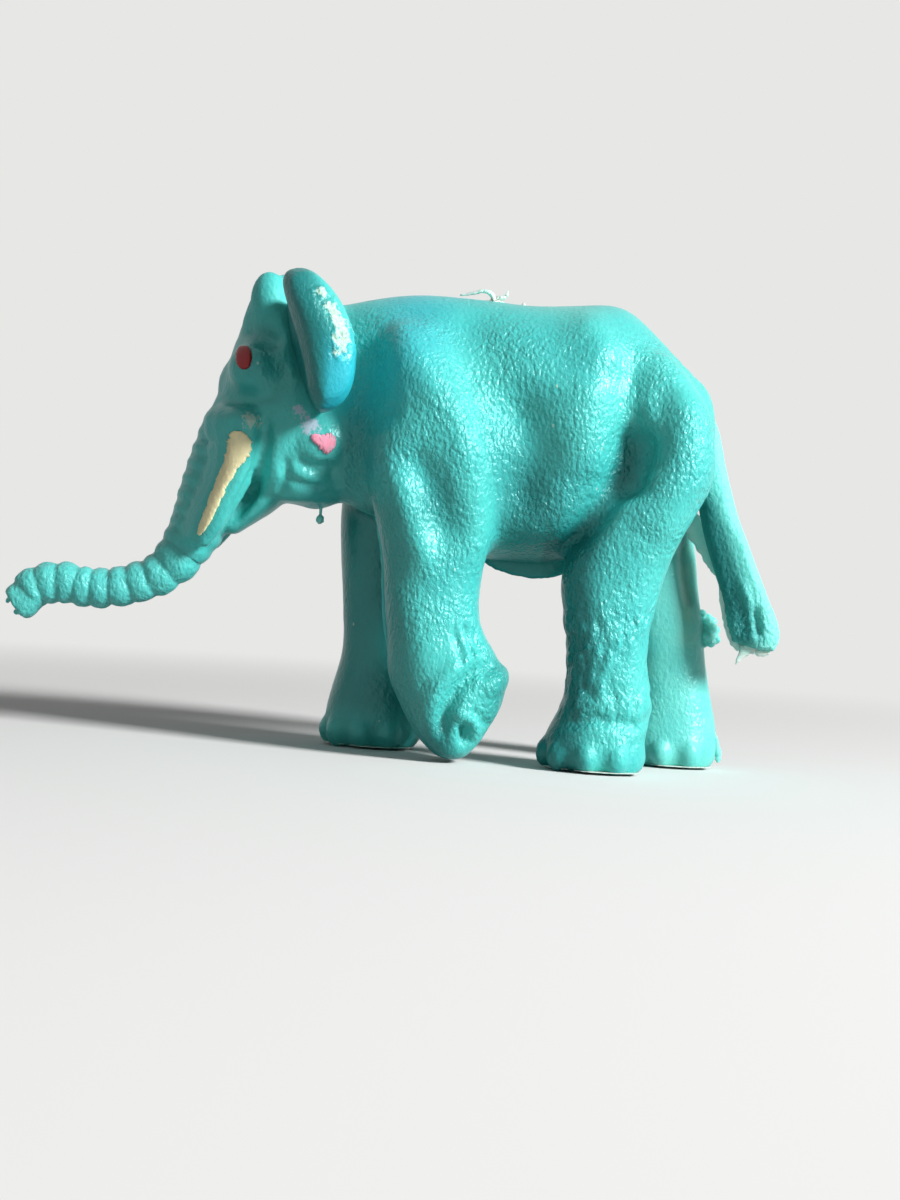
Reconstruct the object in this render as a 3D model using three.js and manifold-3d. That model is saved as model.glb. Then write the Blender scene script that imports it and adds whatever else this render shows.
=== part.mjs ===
// A small toy elephant moulded in soft turquoise rubber, walking, with painted eyes, tusks and cheeks.
//
// Millimetres, +Z up. The elephant looks along -X and its left side is at -Y. The origin is on the ground
// under the middle of the figure. The toy is one solid moulding: each mesh is one zone of its anatomy or one
// coat of paint, and a hairline separates the zones. The trunk, the tail and the ears are the slim parts that
// flex. Each of them has a round end in a dished seat, where the rubber bends.
//
// Organic forms are lofts. A profile lists a few sections, as shares of the driving sizes, and a smooth
// curve runs through them.
import * as THREE from "three";
import { mergeVertices } from "three/addons/utils/BufferGeometryUtils.js";
import Module from "manifold-3d";

const wasm = await Module();
wasm.setup();

const LEFT = -1;
const RIGHT = 1;

// Clearances and coats
const HAIRLINE = 0.3; // between two zones of the moulding
const SEAT_LIP = 0.84; // where a dished seat ends behind its pivot, as a share of the round end's radius
const EAR_SLOT = 0.5; // round the root of an ear, which swings further than the trunk
const COAT_GAP = 0.1; // under a coat of paint
const COAT = 0.25; // thickness of a coat of paint

// Body
const BACK_HEIGHT = 38.2; // back above the ground
const BODY_DEPTH = 22; // back to belly
const BODY_WIDTH = 17.4;
const BODY_LENGTH = 29.6; // neck to the start of the rump's rounding
const RUMP_ROUNDING = 2;
const NECK_X = -6;
const BELLY_FLASH_HEIGHT = 0.7; // fin of rubber left by the mould's parting line
const BELLY_FLASH_THICKNESS = 0.5;
const GATE_STUB_LENGTH = 3.2; // where the rubber was let into the mould
const GATE_STUB_HEIGHT = 0.9;

// Legs
const LEG_LENGTH = 23; // sole to the top of the leg, inside the body
const LEG_DEPTH = 7.4; // front to back
const LEG_WIDTH = 6.6;
const FORELEG_SPREAD = 5; // from the middle of the body
const HINDLEG_SPREAD = 5.1;
const FORELEG_X = 1.2; // middle of the pair
const HINDLEG_X = 20.4;
const FORE_STRIDE = 2.3; // how far each foot of a pair is from that middle
const HIND_STRIDE = 3;
const TOE_RADIUS = 1.1;
const TOES = 4;
const TOE_SIDES = 8;

// Head
const HEAD_X = -10.4;
const HEAD_TOP = 39.3; // crown above the ground
const HEAD_TALL = 19.6; // crown to throat
const HEAD_DEPTH = 11; // brow to nape
const HEAD_WIDTH = 10.4;
const FOREHEAD_TALL = 6.4; // of the two swellings over the brows
const BROW_RADIUS = 2.35;
const BROW_AHEAD = 2.1; // of the middle of the head
const BROW_BELOW_CROWN = 8.5;
const CHEEK_RADIUS = 2.2;
const CHEEK_BEHIND = 3.4;
const CHEEK_BELOW_CROWN = 14;
const THROAT_RADIUS = 2.8;
const THROAT_BEHIND = 3.2;
const JAW_LENGTH = 6;
const JAW_WIDTH = 5.2;
const EYE_TALL = 1.8;
const EYE_WIDE = 1.3;

// Ears
const EAR_TALL = 11.1;
const EAR_REACH = 8.4; // from its root to its tip
const EAR_THICKNESS = 4.4; // at the rolled rim
const EAR_CURL = 1.2; // how far the top and the bottom of the rim curl forward
const EAR_BEAD_RADIUS = 1; // of the root, which turns in the head
const EAR_LEAN = 18; // degrees from upright
const EAR_SWEEP = 20; // degrees back from straight out
const EAR_BEHIND = 2.1; // its root, behind the middle of the head
const EAR_SUNK = 1.1; // its root, inside the head's side
const EAR_BELOW_CROWN = 7.3;

// Trunk and tusks
const TRUNK_AHEAD = 2.8; // where the trunk's middle line starts, ahead of the middle of the head
const TRUNK_BELOW_CROWN = 11.7;
const TRUNK_REACH = 18.6; // forward from the brow
const TRUNK_DROP = 16.4; // brow to the free end
const TRUNK_ROOT_RADIUS = 3.2;
const TRUNK_END_RADIUS = 1.62;
const TRUNK_RING_PITCH = 1.6;
const TRUNK_GROOVE = 0.3; // depth of the groove between two rings
const TUSK_TALL = 10.4;
const TUSK_RADIUS = 1.5;
const TUSK_AHEAD = 2.5; // its knob, ahead of the middle of the head
const TUSK_OUT = 4.3;
const TUSK_BELOW_CROWN = 13.2;

// Tail
const TAIL_TALL = 12.4;
const TAIL_RADIUS = 1.22; // where it leaves the rump, and its half width from side to side
const TAIL_STRAP = 1.62; // half depth of the strap that it widens to, front to back
const TAIL_TUFT_WIDE = 1.8;
const TAIL_TUFT_DEEP = 2.15;

// Fineness of the facets
const BARREL_SIDES = 28;
const MUSCLE_SIDES = 18;
const BODY_SIDES = 20;
const EAR_SIDES = 16;
const LIMB_SIDES = 14;
const SMALL_SIDES = 10;
const ROUND_STEPS = 3;
const STEPS_PER_RING = 4;

const radians = THREE.MathUtils.degToRad;
const Y_AXIS = new THREE.Vector3(0, 1, 0);
const DOWN = new THREE.Vector3(0, 0, -1);

// A closed solid from a geometry whose shared vertices are merged.
function solid(geometry) {
  geometry.deleteAttribute("normal");
  geometry.deleteAttribute("uv");
  const merged = mergeVertices(geometry);
  return new wasm.Manifold(new wasm.Mesh({
    numProp: 3,
    vertProperties: Float32Array.from(merged.attributes.position.array),
    triVerts: Uint32Array.from(merged.index.array),
  }));
}

function joined(solids) {
  return solids.reduce((whole, one) => whole.add(one));
}

function cutBy(whole, cutters) {
  return cutters.reduce((rest, cutter) => rest.subtract(cutter), whole);
}

// The largest piece of a solid that a cut may have left in pieces.
function largest(whole) {
  return whole.decompose().reduce((best, one) => (one.volume() > best.volume() ? one : best));
}

// A smooth curve through rows of numbers. The first number of a row is its place along the loft.
function profile(rows) {
  const places = rows.map((row) => row[0]);
  const values = rows.flatMap((row) => row.slice(1));
  const curve = new THREE.CubicInterpolant(places, values, rows[0].length - 1);
  return (share) => Array.from(curve.evaluate(share));
}

// One ring of points round a centre, in the plane square to `forward`. It is a superellipse, `wide` from the
// middle to each side and `over` to the top and the bottom. The points lie closer together on the sides where
// `crowd` is over 0.
function ring({ centre, forward, side, wide, over, square, crowd, sides }) {
  const up = new THREE.Vector3().crossVectors(forward, side);
  const points = [];
  for (let index = 0; index < sides; index++) {
    const turn = (2 * Math.PI * index) / sides;
    const angle = turn - (crowd * Math.sin(2 * turn)) / 2;
    const across = Math.sign(Math.cos(angle)) * Math.abs(Math.cos(angle)) ** (2 / square);
    const along = Math.sign(Math.sin(angle)) * Math.abs(Math.sin(angle)) ** (2 / square);
    points.push(centre.clone()
      .addScaledVector(side, wide * across)
      .addScaledVector(up, over * along));
  }
  return points;
}

// A solid skinned over rings that all have the same number of points.
function skinned(rings) {
  const sides = rings[0].length;
  const points = rings.flat();
  const faces = [];
  for (let level = 0; level + 1 < rings.length; level++) {
    for (let index = 0; index < sides; index++) {
      const here = level * sides + index;
      const next = level * sides + (index + 1) % sides;
      faces.push(here, next, next + sides, here, next + sides, here + sides);
    }
  }
  const last = (rings.length - 1) * sides;
  for (const [start, facesBack] of [[0, true], [last, false]]) {
    const middle = points.length;
    const total = points.slice(start, start + sides).reduce((sum, point) => sum.clone().add(point));
    points.push(total.divideScalar(sides));
    for (let index = 0; index < sides; index++) {
      const edge = [start + index, start + (index + 1) % sides];
      faces.push(middle, ...(facesBack ? edge.reverse() : edge));
    }
  }
  const geometry = new THREE.BufferGeometry().setFromPoints(points);
  geometry.setIndex(faces);
  return solid(geometry);
}

// A loft. `section(share)` gives the centre and half sizes at a share of the loft from 0 to 1. The sections
// are square to `forward`, or to the line of centres where that isn't given. The ends are flat, or rounded
// by a length. `grow` makes the same form larger all round, to cut its neighbours with a clearance. `sculpt`
// moves every point of the surface.
function loft({ section, steps, sides, forward, side = Y_AXIS, square = 2, crowd = 0, from = 0, to = 1,
  startRound = 0, endRound = 0, grow = 0, sculpt }) {
  const rings = [];
  const heading = (share) => {
    if (forward) return forward;
    const ahead = section(Math.min(share + 0.01, to)).centre;
    const behind = section(Math.max(share - 0.01, from)).centre;
    return ahead.clone().sub(behind).normalize();
  };
  const addRing = (share, push, shrink) => {
    const { centre, wide, over } = section(share);
    const direction = heading(share);
    const across = side.clone().addScaledVector(direction, -side.dot(direction)).normalize();
    rings.push(ring({
      centre: centre.clone().addScaledVector(direction, push),
      forward: direction,
      side: across,
      wide: (wide + grow) * shrink,
      over: (over + grow) * shrink,
      square,
      crowd,
      sides,
    }));
  };
  const bend = (step) => (Math.PI / 2) * (step / (ROUND_STEPS + 0.35));
  const startLength = startRound + grow;
  const endLength = endRound + grow;
  for (let step = startRound ? ROUND_STEPS : 0; step > 0; step--) {
    addRing(from, -startLength * Math.sin(bend(step)), Math.cos(bend(step)));
  }
  for (let step = 0; step <= steps; step++) {
    const flatPush = step === 0 && !startRound ? -grow : step === steps && !endRound ? grow : 0;
    addRing(from + ((to - from) * step) / steps, flatPush, 1);
  }
  for (let step = 1; endRound && step <= ROUND_STEPS; step++) {
    addRing(to, endLength * Math.sin(bend(step)), Math.cos(bend(step)));
  }
  if (sculpt) rings.flat().forEach(sculpt);
  return skinned(rings);
}

function ellipsoid([x, y, z], [depth, width, height], grow = 0, sides = SMALL_SIDES, sculpt = undefined) {
  const geometry = new THREE.SphereGeometry(1, sides, sides / 2);
  geometry.scale(depth + grow, width + grow, height + grow);
  geometry.translate(x, y, z);
  const places = geometry.attributes.position;
  for (let index = 0; sculpt && index < places.count; index++) {
    const point = new THREE.Vector3().fromBufferAttribute(places, index);
    sculpt(point);
    places.setXYZ(index, point.x, point.y, point.z);
  }
  return solid(geometry);
}

// A bar with round ends between two points.
function capsule(from, to, radius, sides) {
  const length = from.distanceTo(to);
  const geometry = new THREE.CapsuleGeometry(radius, length, ROUND_STEPS, sides);
  const turn = new THREE.Quaternion().setFromUnitVectors(Y_AXIS, to.clone().sub(from).normalize());
  geometry.applyQuaternion(turn);
  geometry.translate(...from.clone().lerp(to, 0.5));
  return solid(geometry);
}

// Everything on one side of a plane through a point, for cutting a seat square.
function beyond(point, direction, size) {
  const geometry = new THREE.BoxGeometry(size, size, size);
  geometry.translate(0, size / 2, 0);
  geometry.applyQuaternion(new THREE.Quaternion().setFromUnitVectors(Y_AXIS, direction));
  geometry.translate(...point);
  return solid(geometry);
}

// The dished end of a fixed piece, in which a round end of `radius` turns about `pivot`.
function seatCut(pivot, direction, radius) {
  const lip = pivot.clone().addScaledVector(direction, -SEAT_LIP * radius);
  const ball = ellipsoid(pivot.toArray(), [radius, radius, radius], HAIRLINE);
  return beyond(lip, direction, 8 * radius).add(ball);
}

// Torso: place along the body, top, bottom, half width
const torsoProfile = profile([
  [0, 0.054, 0.762, 0.23],
  [0.067, 0.036, 0.816, 0.305],
  [0.2, 0.004, 0.879, 0.395],
  [0.367, 0.006, 0.96, 0.447],
  [0.533, 0.013, 0.99, 0.487],
  [0.667, 0.004, 0.975, 0.478],
  [0.793, 0.002, 0.883, 0.41],
  [0.917, 0.148, 0.78, 0.34],
  [1, 0.26, 0.68, 0.25],
]);

function torsoSection(share) {
  const [top, bottom, wide] = torsoProfile(share);
  const half = ((bottom - top) * BODY_DEPTH) / 2;
  const height = BACK_HEIGHT - top * BODY_DEPTH - half;
  return {
    centre: new THREE.Vector3(NECK_X + share * BODY_LENGTH, 0, height),
    wide: wide * BODY_WIDTH,
    over: half,
  };
}

// Muscles over the legs: how far their middles lie behind the middle of the pair, their sizes, how far each mm
// of height leans forward, and what share of the step they follow
const SHOULDER = { behind: 0.2, deep: 5, wide: 3.5, tall: 9.4, height: 26.2, lean: 0, follow: 0.45 };
const THIGH = { behind: 0.7, deep: 4, wide: 4.2, tall: 7.9, height: 26.3, lean: 0.12, follow: 0 };
const MUSCLE_INWARD = 0.1; // how far each mm of their height leans to the middle of the body

// Relief on the sides of the body, alike on both: how far a stroke stands out, its half width, and its line.
// The places on a line are shares of the body's length and of its depth, from the neck and from the back.
const BODY_STROKES = [
  // along the shoulder blade and down behind the elbow
  [0.7, 1.7, [0.149, 0.164], [0.233, 0.3], [0.318, 0.45], [0.375, 0.568], [0.405, 0.691], [0.426, 0.9]],
  // hollows before and behind the blade, and behind the elbow
  [-0.7, 1.8, [0.088, 0.218], [0.108, 0.391], [0.162, 0.545]],
  [-0.7, 2.2, [0.378, 0.173], [0.439, 0.327], [0.493, 0.445]],
  [-0.9, 2.1, [0.52, 0.464], [0.551, 0.6], [0.534, 0.736]],
  // ribs and belly
  [0.55, 2, [0.709, 0.34], [0.696, 0.491], [0.709, 0.673]],
  [0.5, 2, [0.628, 0.827], [0.534, 0.864]],
  // hip bone, with a hollow under it
  [0.5, 1.9, [0.696, 0.145], [0.723, 0.2]],
  [-0.6, 1.6, [0.824, 0.245], [0.801, 0.336], [0.804, 0.418]],
  // pocket between the ribs and the thigh, and the fold that runs from it down to the belly
  [-1.8, 1.5, [0.82, 0.51], [0.816, 0.63]],
  [-0.9, 1.1, [0.797, 0.627], [0.764, 0.745], [0.726, 0.832], [0.676, 0.918]],
  // thigh
  [0.55, 1.9, [0.885, 0.336], [0.932, 0.482], [0.953, 0.627], [0.919, 0.755], [0.865, 0.882]],
].map(([out, half, ...line]) => {
  const points = line.map(([back, down]) => (
    new THREE.Vector3(NECK_X + back * BODY_LENGTH, 0, BACK_HEIGHT - down * BODY_DEPTH)));
  return { out, half, pieces: points.slice(1).map((point, index) => new THREE.Line3(points[index], point)) };
});

// Pushes a point of the body's side outwards or inwards by the strokes that pass near it.
function sculptSide(point) {
  const spot = new THREE.Vector3(point.x, 0, point.z);
  const nearest = new THREE.Vector3();
  let push = 0;
  for (const { out, half, pieces } of BODY_STROKES) {
    const gap = Math.min(...pieces.map((piece) => (
      piece.closestPointToPoint(spot, true, nearest).distanceTo(spot))));
    push += out * Math.exp(-((gap / half) ** 2));
  }
  const facing = THREE.MathUtils.smoothstep(Math.abs(point.y) / BODY_WIDTH, 0.1, 0.34);
  point.y += Math.sign(point.y) * push * facing;
}

function muscle(pairX, stride, hand, { behind, deep, wide, tall, height, lean, follow }, grow) {
  const out = BODY_WIDTH / 2 - wide * 0.9;
  const step = follow * stride;
  const shape = (point) => {
    const above = point.z - height;
    point.x -= above * (lean + step / tall);
    point.y -= above * hand * MUSCLE_INWARD;
    sculptSide(point);
  };
  return ellipsoid([pairX + behind + step, hand * out, height], [deep, wide, tall], grow, MUSCLE_SIDES, shape);
}

function torsoSolid(grow = 0) {
  const barrel = loft({
    section: torsoSection,
    steps: 24,
    sides: BARREL_SIDES,
    forward: new THREE.Vector3(1, 0, 0),
    square: 2.25,
    crowd: 0.35,
    endRound: RUMP_ROUNDING,
    grow,
    sculpt: sculptSide,
  });
  const muscles = [LEFT, RIGHT].flatMap((hand) => [
    muscle(FORELEG_X, -hand * FORE_STRIDE, hand, SHOULDER, grow),
    muscle(HINDLEG_X, hand * HIND_STRIDE, hand, THIGH, grow),
  ]);
  return joined([barrel, tailStub(grow), ...muscles]);
}

// The fin that the mould's parting line leaves along the middle of the belly.
function bellyFlash() {
  const outline = new THREE.Shape();
  const start = NECK_X + BODY_LENGTH * 0.4;
  const end = NECK_X + BODY_LENGTH * 0.72;
  const belly = BACK_HEIGHT - BODY_DEPTH;
  outline.moveTo(start, belly + 1.5);
  outline.quadraticCurveTo((start + end) / 2, belly - BELLY_FLASH_HEIGHT * 2 - 1.5, end, belly + 1.5);
  outline.closePath();
  const geometry = new THREE.ExtrudeGeometry(outline, {
    depth: BELLY_FLASH_THICKNESS,
    bevelEnabled: false,
    curveSegments: 10,
  });
  geometry.translate(0, 0, -BELLY_FLASH_THICKNESS / 2);
  geometry.rotateX(Math.PI / 2);
  return solid(geometry);
}

// Standing legs: place from the top of the leg to the sole, half depth, half width
const foreProfile = profile([
  [0, 0.547, 0.53],
  [0.143, 0.527, 0.51],
  [0.313, 0.482, 0.495],
  [0.53, 0.448, 0.47],
  [0.65, 0.448, 0.475],
  [0.735, 0.495, 0.495],
  [0.84, 0.56, 0.54],
  [0.93, 0.572, 0.555],
  [1, 0.48, 0.49],
]);

const hindProfile = profile([
  [0, 0.5, 0.6],
  [0.1, 0.535, 0.575],
  [0.2, 0.55, 0.535],
  [0.304, 0.553, 0.505],
  [0.45, 0.49, 0.48],
  [0.62, 0.45, 0.47],
  [0.72, 0.475, 0.482],
  [0.81, 0.53, 0.51],
  [0.89, 0.57, 0.545],
  [0.94, 0.57, 0.555],
  [1, 0.49, 0.5],
]);

// Foreleg with its wrist bent: the foot points back and only the toes touch the ground.
const liftedProfile = profile([
  [0, 0.66, 0.57],
  [0.217, 0.595, 0.53],
  [0.37, 0.538, 0.492],
  [0.513, 0.52, 0.49],
  [0.574, 0.545, 0.508],
  [0.639, 0.605, 0.53],
  [0.709, 0.642, 0.545],
  [0.787, 0.61, 0.545],
  [0.87, 0.49, 0.515],
  [0.94, 0.35, 0.47],
  [1, 0.215, 0.41],
]);

// Each leg: its foot's place, its shape, and how far its middle lies behind that place, from the top of the
// leg to the sole
const LEGS = [
  {
    name: "foreleg_left",
    x: FORELEG_X + FORE_STRIDE,
    y: LEFT * FORELEG_SPREAD,
    shape: liftedProfile,
    lean: profile([
      [0, -0.145], [0.217, -0.08], [0.4, -0.055], [0.513, -0.02], [0.574, 0.027], [0.639, 0.105],
      [0.709, 0.168], [0.787, 0.203], [0.87, 0.243], [1, 0.285],
    ]),
  },
  {
    name: "foreleg_right",
    x: FORELEG_X - FORE_STRIDE,
    y: RIGHT * FORELEG_SPREAD,
    shape: foreProfile,
    lean: profile([
      [0, 0.005], [0.143, -0.04], [0.313, -0.045], [0.53, -0.015], [0.7, 0], [0.85, -0.02], [1, -0.02],
    ]),
  },
  {
    name: "hindleg_left",
    x: HINDLEG_X - HIND_STRIDE,
    y: LEFT * HINDLEG_SPREAD,
    shape: hindProfile,
    lean: profile([
      [0, 0.47], [0.09, 0.3], [0.196, 0.148], [0.304, 0.034], [0.48, -0.02], [0.63, 0.01], [0.73, 0.034],
      [0.81, 0], [0.89, -0.055], [1, -0.03],
    ]),
  },
  {
    name: "hindleg_right",
    x: HINDLEG_X + HIND_STRIDE,
    y: RIGHT * HINDLEG_SPREAD,
    shape: hindProfile,
    lean: profile([
      [0, -0.25], [0.174, -0.243], [0.374, -0.155], [0.522, -0.04], [0.652, 0.04], [0.8, 0.073], [0.9, 0.08],
      [1, 0.13],
    ]),
  },
];
const TOE_PLACE = 0.945; // along the leg, just above the sole

// The toes stand in an arc round the front of the foot.
function toes(section) {
  const { centre, wide, over } = section(TOE_PLACE);
  const solids = [];
  for (let toe = 0; toe < TOES; toe++) {
    const angle = radians(-54 + (108 * toe) / (TOES - 1));
    const x = centre.x - (over - TOE_RADIUS * 0.45) * Math.cos(angle);
    const y = centre.y + (wide - TOE_RADIUS * 0.45) * Math.sin(angle);
    solids.push(ellipsoid([x, y, centre.z], [TOE_RADIUS, TOE_RADIUS, TOE_RADIUS], 0, TOE_SIDES));
  }
  return solids;
}

function legSolid({ x, y, shape, lean }) {
  const section = (share) => {
    const [depth, width] = shape(share);
    const [back] = lean(share);
    return {
      centre: new THREE.Vector3(x + back * LEG_DEPTH, y, LEG_LENGTH * (1 - share)),
      wide: width * LEG_WIDTH,
      over: depth * LEG_DEPTH,
    };
  };
  const column = loft({
    section,
    steps: 13,
    sides: LIMB_SIDES,
    forward: DOWN,
    square: 2.2,
    startRound: LEG_DEPTH / 2,
  });
  return largest(cutBy(joined([column, ...toes(section)]), [torsoSolid(HAIRLINE)]));
}

// Head: place from the crown to the throat, how far the middle lies back, half depth, half width
const CROWN_ROUNDING = 0.7;
const headProfile = profile([
  [0, -0.045, 0.164, 0.21],
  [0.06, -0.01, 0.245, 0.317],
  [0.143, 0.01, 0.318, 0.394],
  [0.308, 0.018, 0.41, 0.471],
  [0.473, 0, 0.473, 0.5],
  [0.637, -0.036, 0.49, 0.5],
  [0.8, -0.03, 0.46, 0.452],
  [0.912, 0.02, 0.34, 0.375],
  [1, 0.09, 0.2, 0.25],
]);

function headSection(share) {
  const [back, depth, width] = headProfile(share);
  const height = HEAD_TOP - CROWN_ROUNDING - share * (HEAD_TALL - 2 * CROWN_ROUNDING);
  return {
    centre: new THREE.Vector3(HEAD_X + back * HEAD_DEPTH, 0, height),
    wide: width * HEAD_WIDTH,
    over: depth * HEAD_DEPTH,
  };
}

// Lumps on the side of the head: where their middles are, and their half depth, width and height
function browLump(hand) {
  return {
    at: [HEAD_X - BROW_AHEAD, hand * HEAD_WIDTH * 0.33, HEAD_TOP - BROW_BELOW_CROWN],
    size: [BROW_RADIUS, BROW_RADIUS * 0.8, BROW_RADIUS],
  };
}

function foreheadLobe(hand) {
  return {
    at: [HEAD_X - HEAD_DEPTH * 0.09, hand * HEAD_WIDTH * 0.22, HEAD_TOP - FOREHEAD_TALL * 0.56],
    size: [FOREHEAD_TALL * 0.3, FOREHEAD_TALL * 0.35, FOREHEAD_TALL / 2],
  };
}

function cheekLump(hand) {
  return {
    at: [HEAD_X + CHEEK_BEHIND, hand * HEAD_WIDTH * 0.32, HEAD_TOP - CHEEK_BELOW_CROWN],
    size: [CHEEK_RADIUS, CHEEK_RADIUS * 0.85, CHEEK_RADIUS * 1.2],
  };
}

function headForm(grow = 0) {
  const skull = loft({
    section: headSection,
    steps: 12,
    sides: BODY_SIDES,
    forward: DOWN,
    square: 2.3,
    startRound: CROWN_ROUNDING,
    endRound: CROWN_ROUNDING,
    grow,
  });
  const throat = ellipsoid(
    [HEAD_X + THROAT_BEHIND, 0, HEAD_TOP - HEAD_TALL + THROAT_RADIUS],
    [THROAT_RADIUS, HEAD_WIDTH * 0.33, THROAT_RADIUS],
    grow,
  );
  const lumps = [LEFT, RIGHT].flatMap((hand) => [foreheadLobe(hand), browLump(hand), cheekLump(hand)]);
  return joined([skull, throat, ...lumps.map(({ at, size }) => ellipsoid(at, size, grow))]);
}

// Trunk: its middle line, from the brow down to the bend and out to the free end. The places are shares of
// the reach forward and of the drop, from the point where it starts inside the head.
const TRUNK_START = new THREE.Vector3(HEAD_X - TRUNK_AHEAD, 0, HEAD_TOP - TRUNK_BELOW_CROWN);
const trunkLine = new THREE.CatmullRomCurve3([
  [0, 0], [0.075, 0.22], [0.14, 0.43], [0.21, 0.64], [0.325, 0.83],
  [0.475, 0.915], [0.635, 0.947], [0.82, 0.93], [0.985, 0.995],
].map(([forward, drop]) => TRUNK_START.clone().add(
  new THREE.Vector3(-forward * TRUNK_REACH, 0, -drop * TRUNK_DROP))));

// Places of the two bends, as shares of the line's length
const TRUNK_BEND = 0.565;
const TRUNK_TIP_BEND = 0.81;

// Half width of the trunk across, and of the trunk seen from the side
const trunkProfile = profile([
  [0, 1.03, 0.94], [0.15, 1, 0.92], [0.3, 0.86, 0.8], [0.44, 0.72, 0.72],
  [0.565, 0.53, 0.53], [0.7, 0.506, 0.506], [0.81, 0.5, 0.5], [0.92, 0.51, 0.5], [1, 0.46, 0.44],
]);

// The rings start shallow on the head's side and are full depth past the bend.
function trunkSection(share) {
  const [across, deep] = trunkProfile(share);
  const place = (share * trunkLine.getLength()) / TRUNK_RING_PITCH;
  const fade = THREE.MathUtils.smoothstep(share, 0.1, TRUNK_BEND);
  const groove = TRUNK_GROOVE * (0.3 + 0.7 * fade) * Math.sin(Math.PI * place) ** 2;
  const scale = THREE.MathUtils.lerp(TRUNK_ROOT_RADIUS, 2 * TRUNK_END_RADIUS, fade);
  return {
    centre: trunkLine.getPointAt(THREE.MathUtils.clamp(share, 0, 1)),
    wide: across * scale - groove,
    over: deep * scale - groove,
  };
}

function trunkPiece(from, to, options = {}) {
  const rings = ((to - from) * trunkLine.getLength()) / TRUNK_RING_PITCH;
  return loft({
    section: trunkSection,
    from,
    to,
    steps: Math.round(rings * STEPS_PER_RING),
    sides: LIMB_SIDES,
    ...options,
  });
}

function trunkPivot(share) {
  return {
    pivot: trunkLine.getPointAt(share),
    direction: trunkLine.getTangentAt(share),
    radius: trunkSection(share).wide,
  };
}

function trunkSeat(share) {
  const { pivot, direction, radius } = trunkPivot(share);
  return seatCut(pivot, direction, radius);
}

function trunkRootForm(grow = 0) {
  return trunkPiece(0, TRUNK_BEND, { startRound: TRUNK_ROOT_RADIUS * 0.5, grow });
}

// Tusk: a ridge in relief on the side of the trunk, from a knob under the brow to the bend of the trunk.
// Places as shares of the tusk's height: forward, out, down. Then the radius.
const tuskProfile = profile([
  [0, 0, 0, 0, 1.08],
  [0.3, 0.01, 0, 0.28, 1],
  [0.6, 0.13, -0.04, 0.58, 0.82],
  [0.8, 0.24, -0.07, 0.8, 0.7],
  [1, 0.36, -0.1, 0.96, 0.44],
]);

function tuskSection(hand) {
  return (share) => {
    const [ahead, out, down, radius] = tuskProfile(share);
    return {
      centre: new THREE.Vector3(
        HEAD_X - TUSK_AHEAD - ahead * TUSK_TALL,
        hand * (TUSK_OUT + out * TUSK_TALL),
        HEAD_TOP - TUSK_BELOW_CROWN - down * TUSK_TALL,
      ),
      wide: radius * TUSK_RADIUS,
      over: radius * TUSK_RADIUS,
    };
  };
}

function tuskForm(hand, grow = 0) {
  return loft({
    section: tuskSection(hand),
    steps: 6,
    sides: SMALL_SIDES,
    startRound: TUSK_RADIUS,
    endRound: TUSK_RADIUS * 0.4,
    grow,
  });
}

// Lower jaw: a blunt lip under the head, behind the trunk
function jawForm(grow = 0) {
  const start = new THREE.Vector3(HEAD_X + 1.9, 0, HEAD_TOP - HEAD_TALL + 3.1);
  const jawProfile = profile([[0, 0.35, 0.5], [0.5, 0.3, 0.44], [1, 0.17, 0.25]]);
  const section = (share) => {
    const [deep, across] = jawProfile(share);
    return {
      centre: start.clone().add(new THREE.Vector3(-share * JAW_LENGTH * 0.76, 0, -share * JAW_LENGTH * 0.65)),
      wide: across * JAW_WIDTH,
      over: deep * JAW_WIDTH,
    };
  };
  return loft({ section, steps: 5, sides: SMALL_SIDES, startRound: 0.5, endRound: 0.7, grow });
}

// Ear: a thick flap with a rolled rim that stands out from the head and a little back
const earUpright = new THREE.Vector3(-Math.sin(radians(EAR_LEAN)), 0, Math.cos(radians(EAR_LEAN)));
const earProfile = profile([
  [0, 0.27, 0.2],
  [0.25, 0.38, 0.26],
  [0.5, 0.46, 0.33],
  [0.75, 0.5, 0.45],
  [0.9, 0.49, 0.5],
  [1, 0.45, 0.46],
]);
const EAR_RIM_ROUNDING = 1.2;

function earRoot(hand) {
  return new THREE.Vector3(
    HEAD_X + EAR_BEHIND,
    hand * (HEAD_WIDTH / 2 - EAR_SUNK),
    HEAD_TOP - EAR_BELOW_CROWN,
  );
}

function earOutward(hand) {
  const out = new THREE.Vector3(Math.sin(radians(EAR_SWEEP)), hand * Math.cos(radians(EAR_SWEEP)), 0);
  return out.addScaledVector(earUpright, -out.dot(earUpright)).normalize();
}

function earBead(hand, radius) {
  const half = earUpright.clone().multiplyScalar(EAR_TALL * 0.27);
  return capsule(earRoot(hand).sub(half), earRoot(hand).add(half), radius, SMALL_SIDES);
}

function earSolid(hand) {
  const out = earOutward(hand);
  const section = (share) => {
    const [tall, thick] = earProfile(share);
    return {
      centre: earRoot(hand).addScaledVector(out, share * (EAR_REACH - EAR_RIM_ROUNDING)),
      wide: tall * EAR_TALL,
      over: thick * EAR_THICKNESS,
    };
  };
  const curl = (point) => {
    const fromRoot = point.clone().sub(earRoot(hand));
    const height = fromRoot.dot(earUpright) / (EAR_TALL / 2);
    const reach = THREE.MathUtils.smoothstep(fromRoot.dot(out) / EAR_REACH, 0.1, 0.8);
    point.x -= EAR_CURL * height ** 2 * reach;
  };
  const flap = loft({
    section,
    steps: 8,
    sides: EAR_SIDES,
    forward: out,
    side: earUpright,
    square: 2.6,
    endRound: EAR_RIM_ROUNDING,
    sculpt: curl,
  });
  return joined([earBead(hand, EAR_BEAD_RADIUS), flap]);
}

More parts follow.
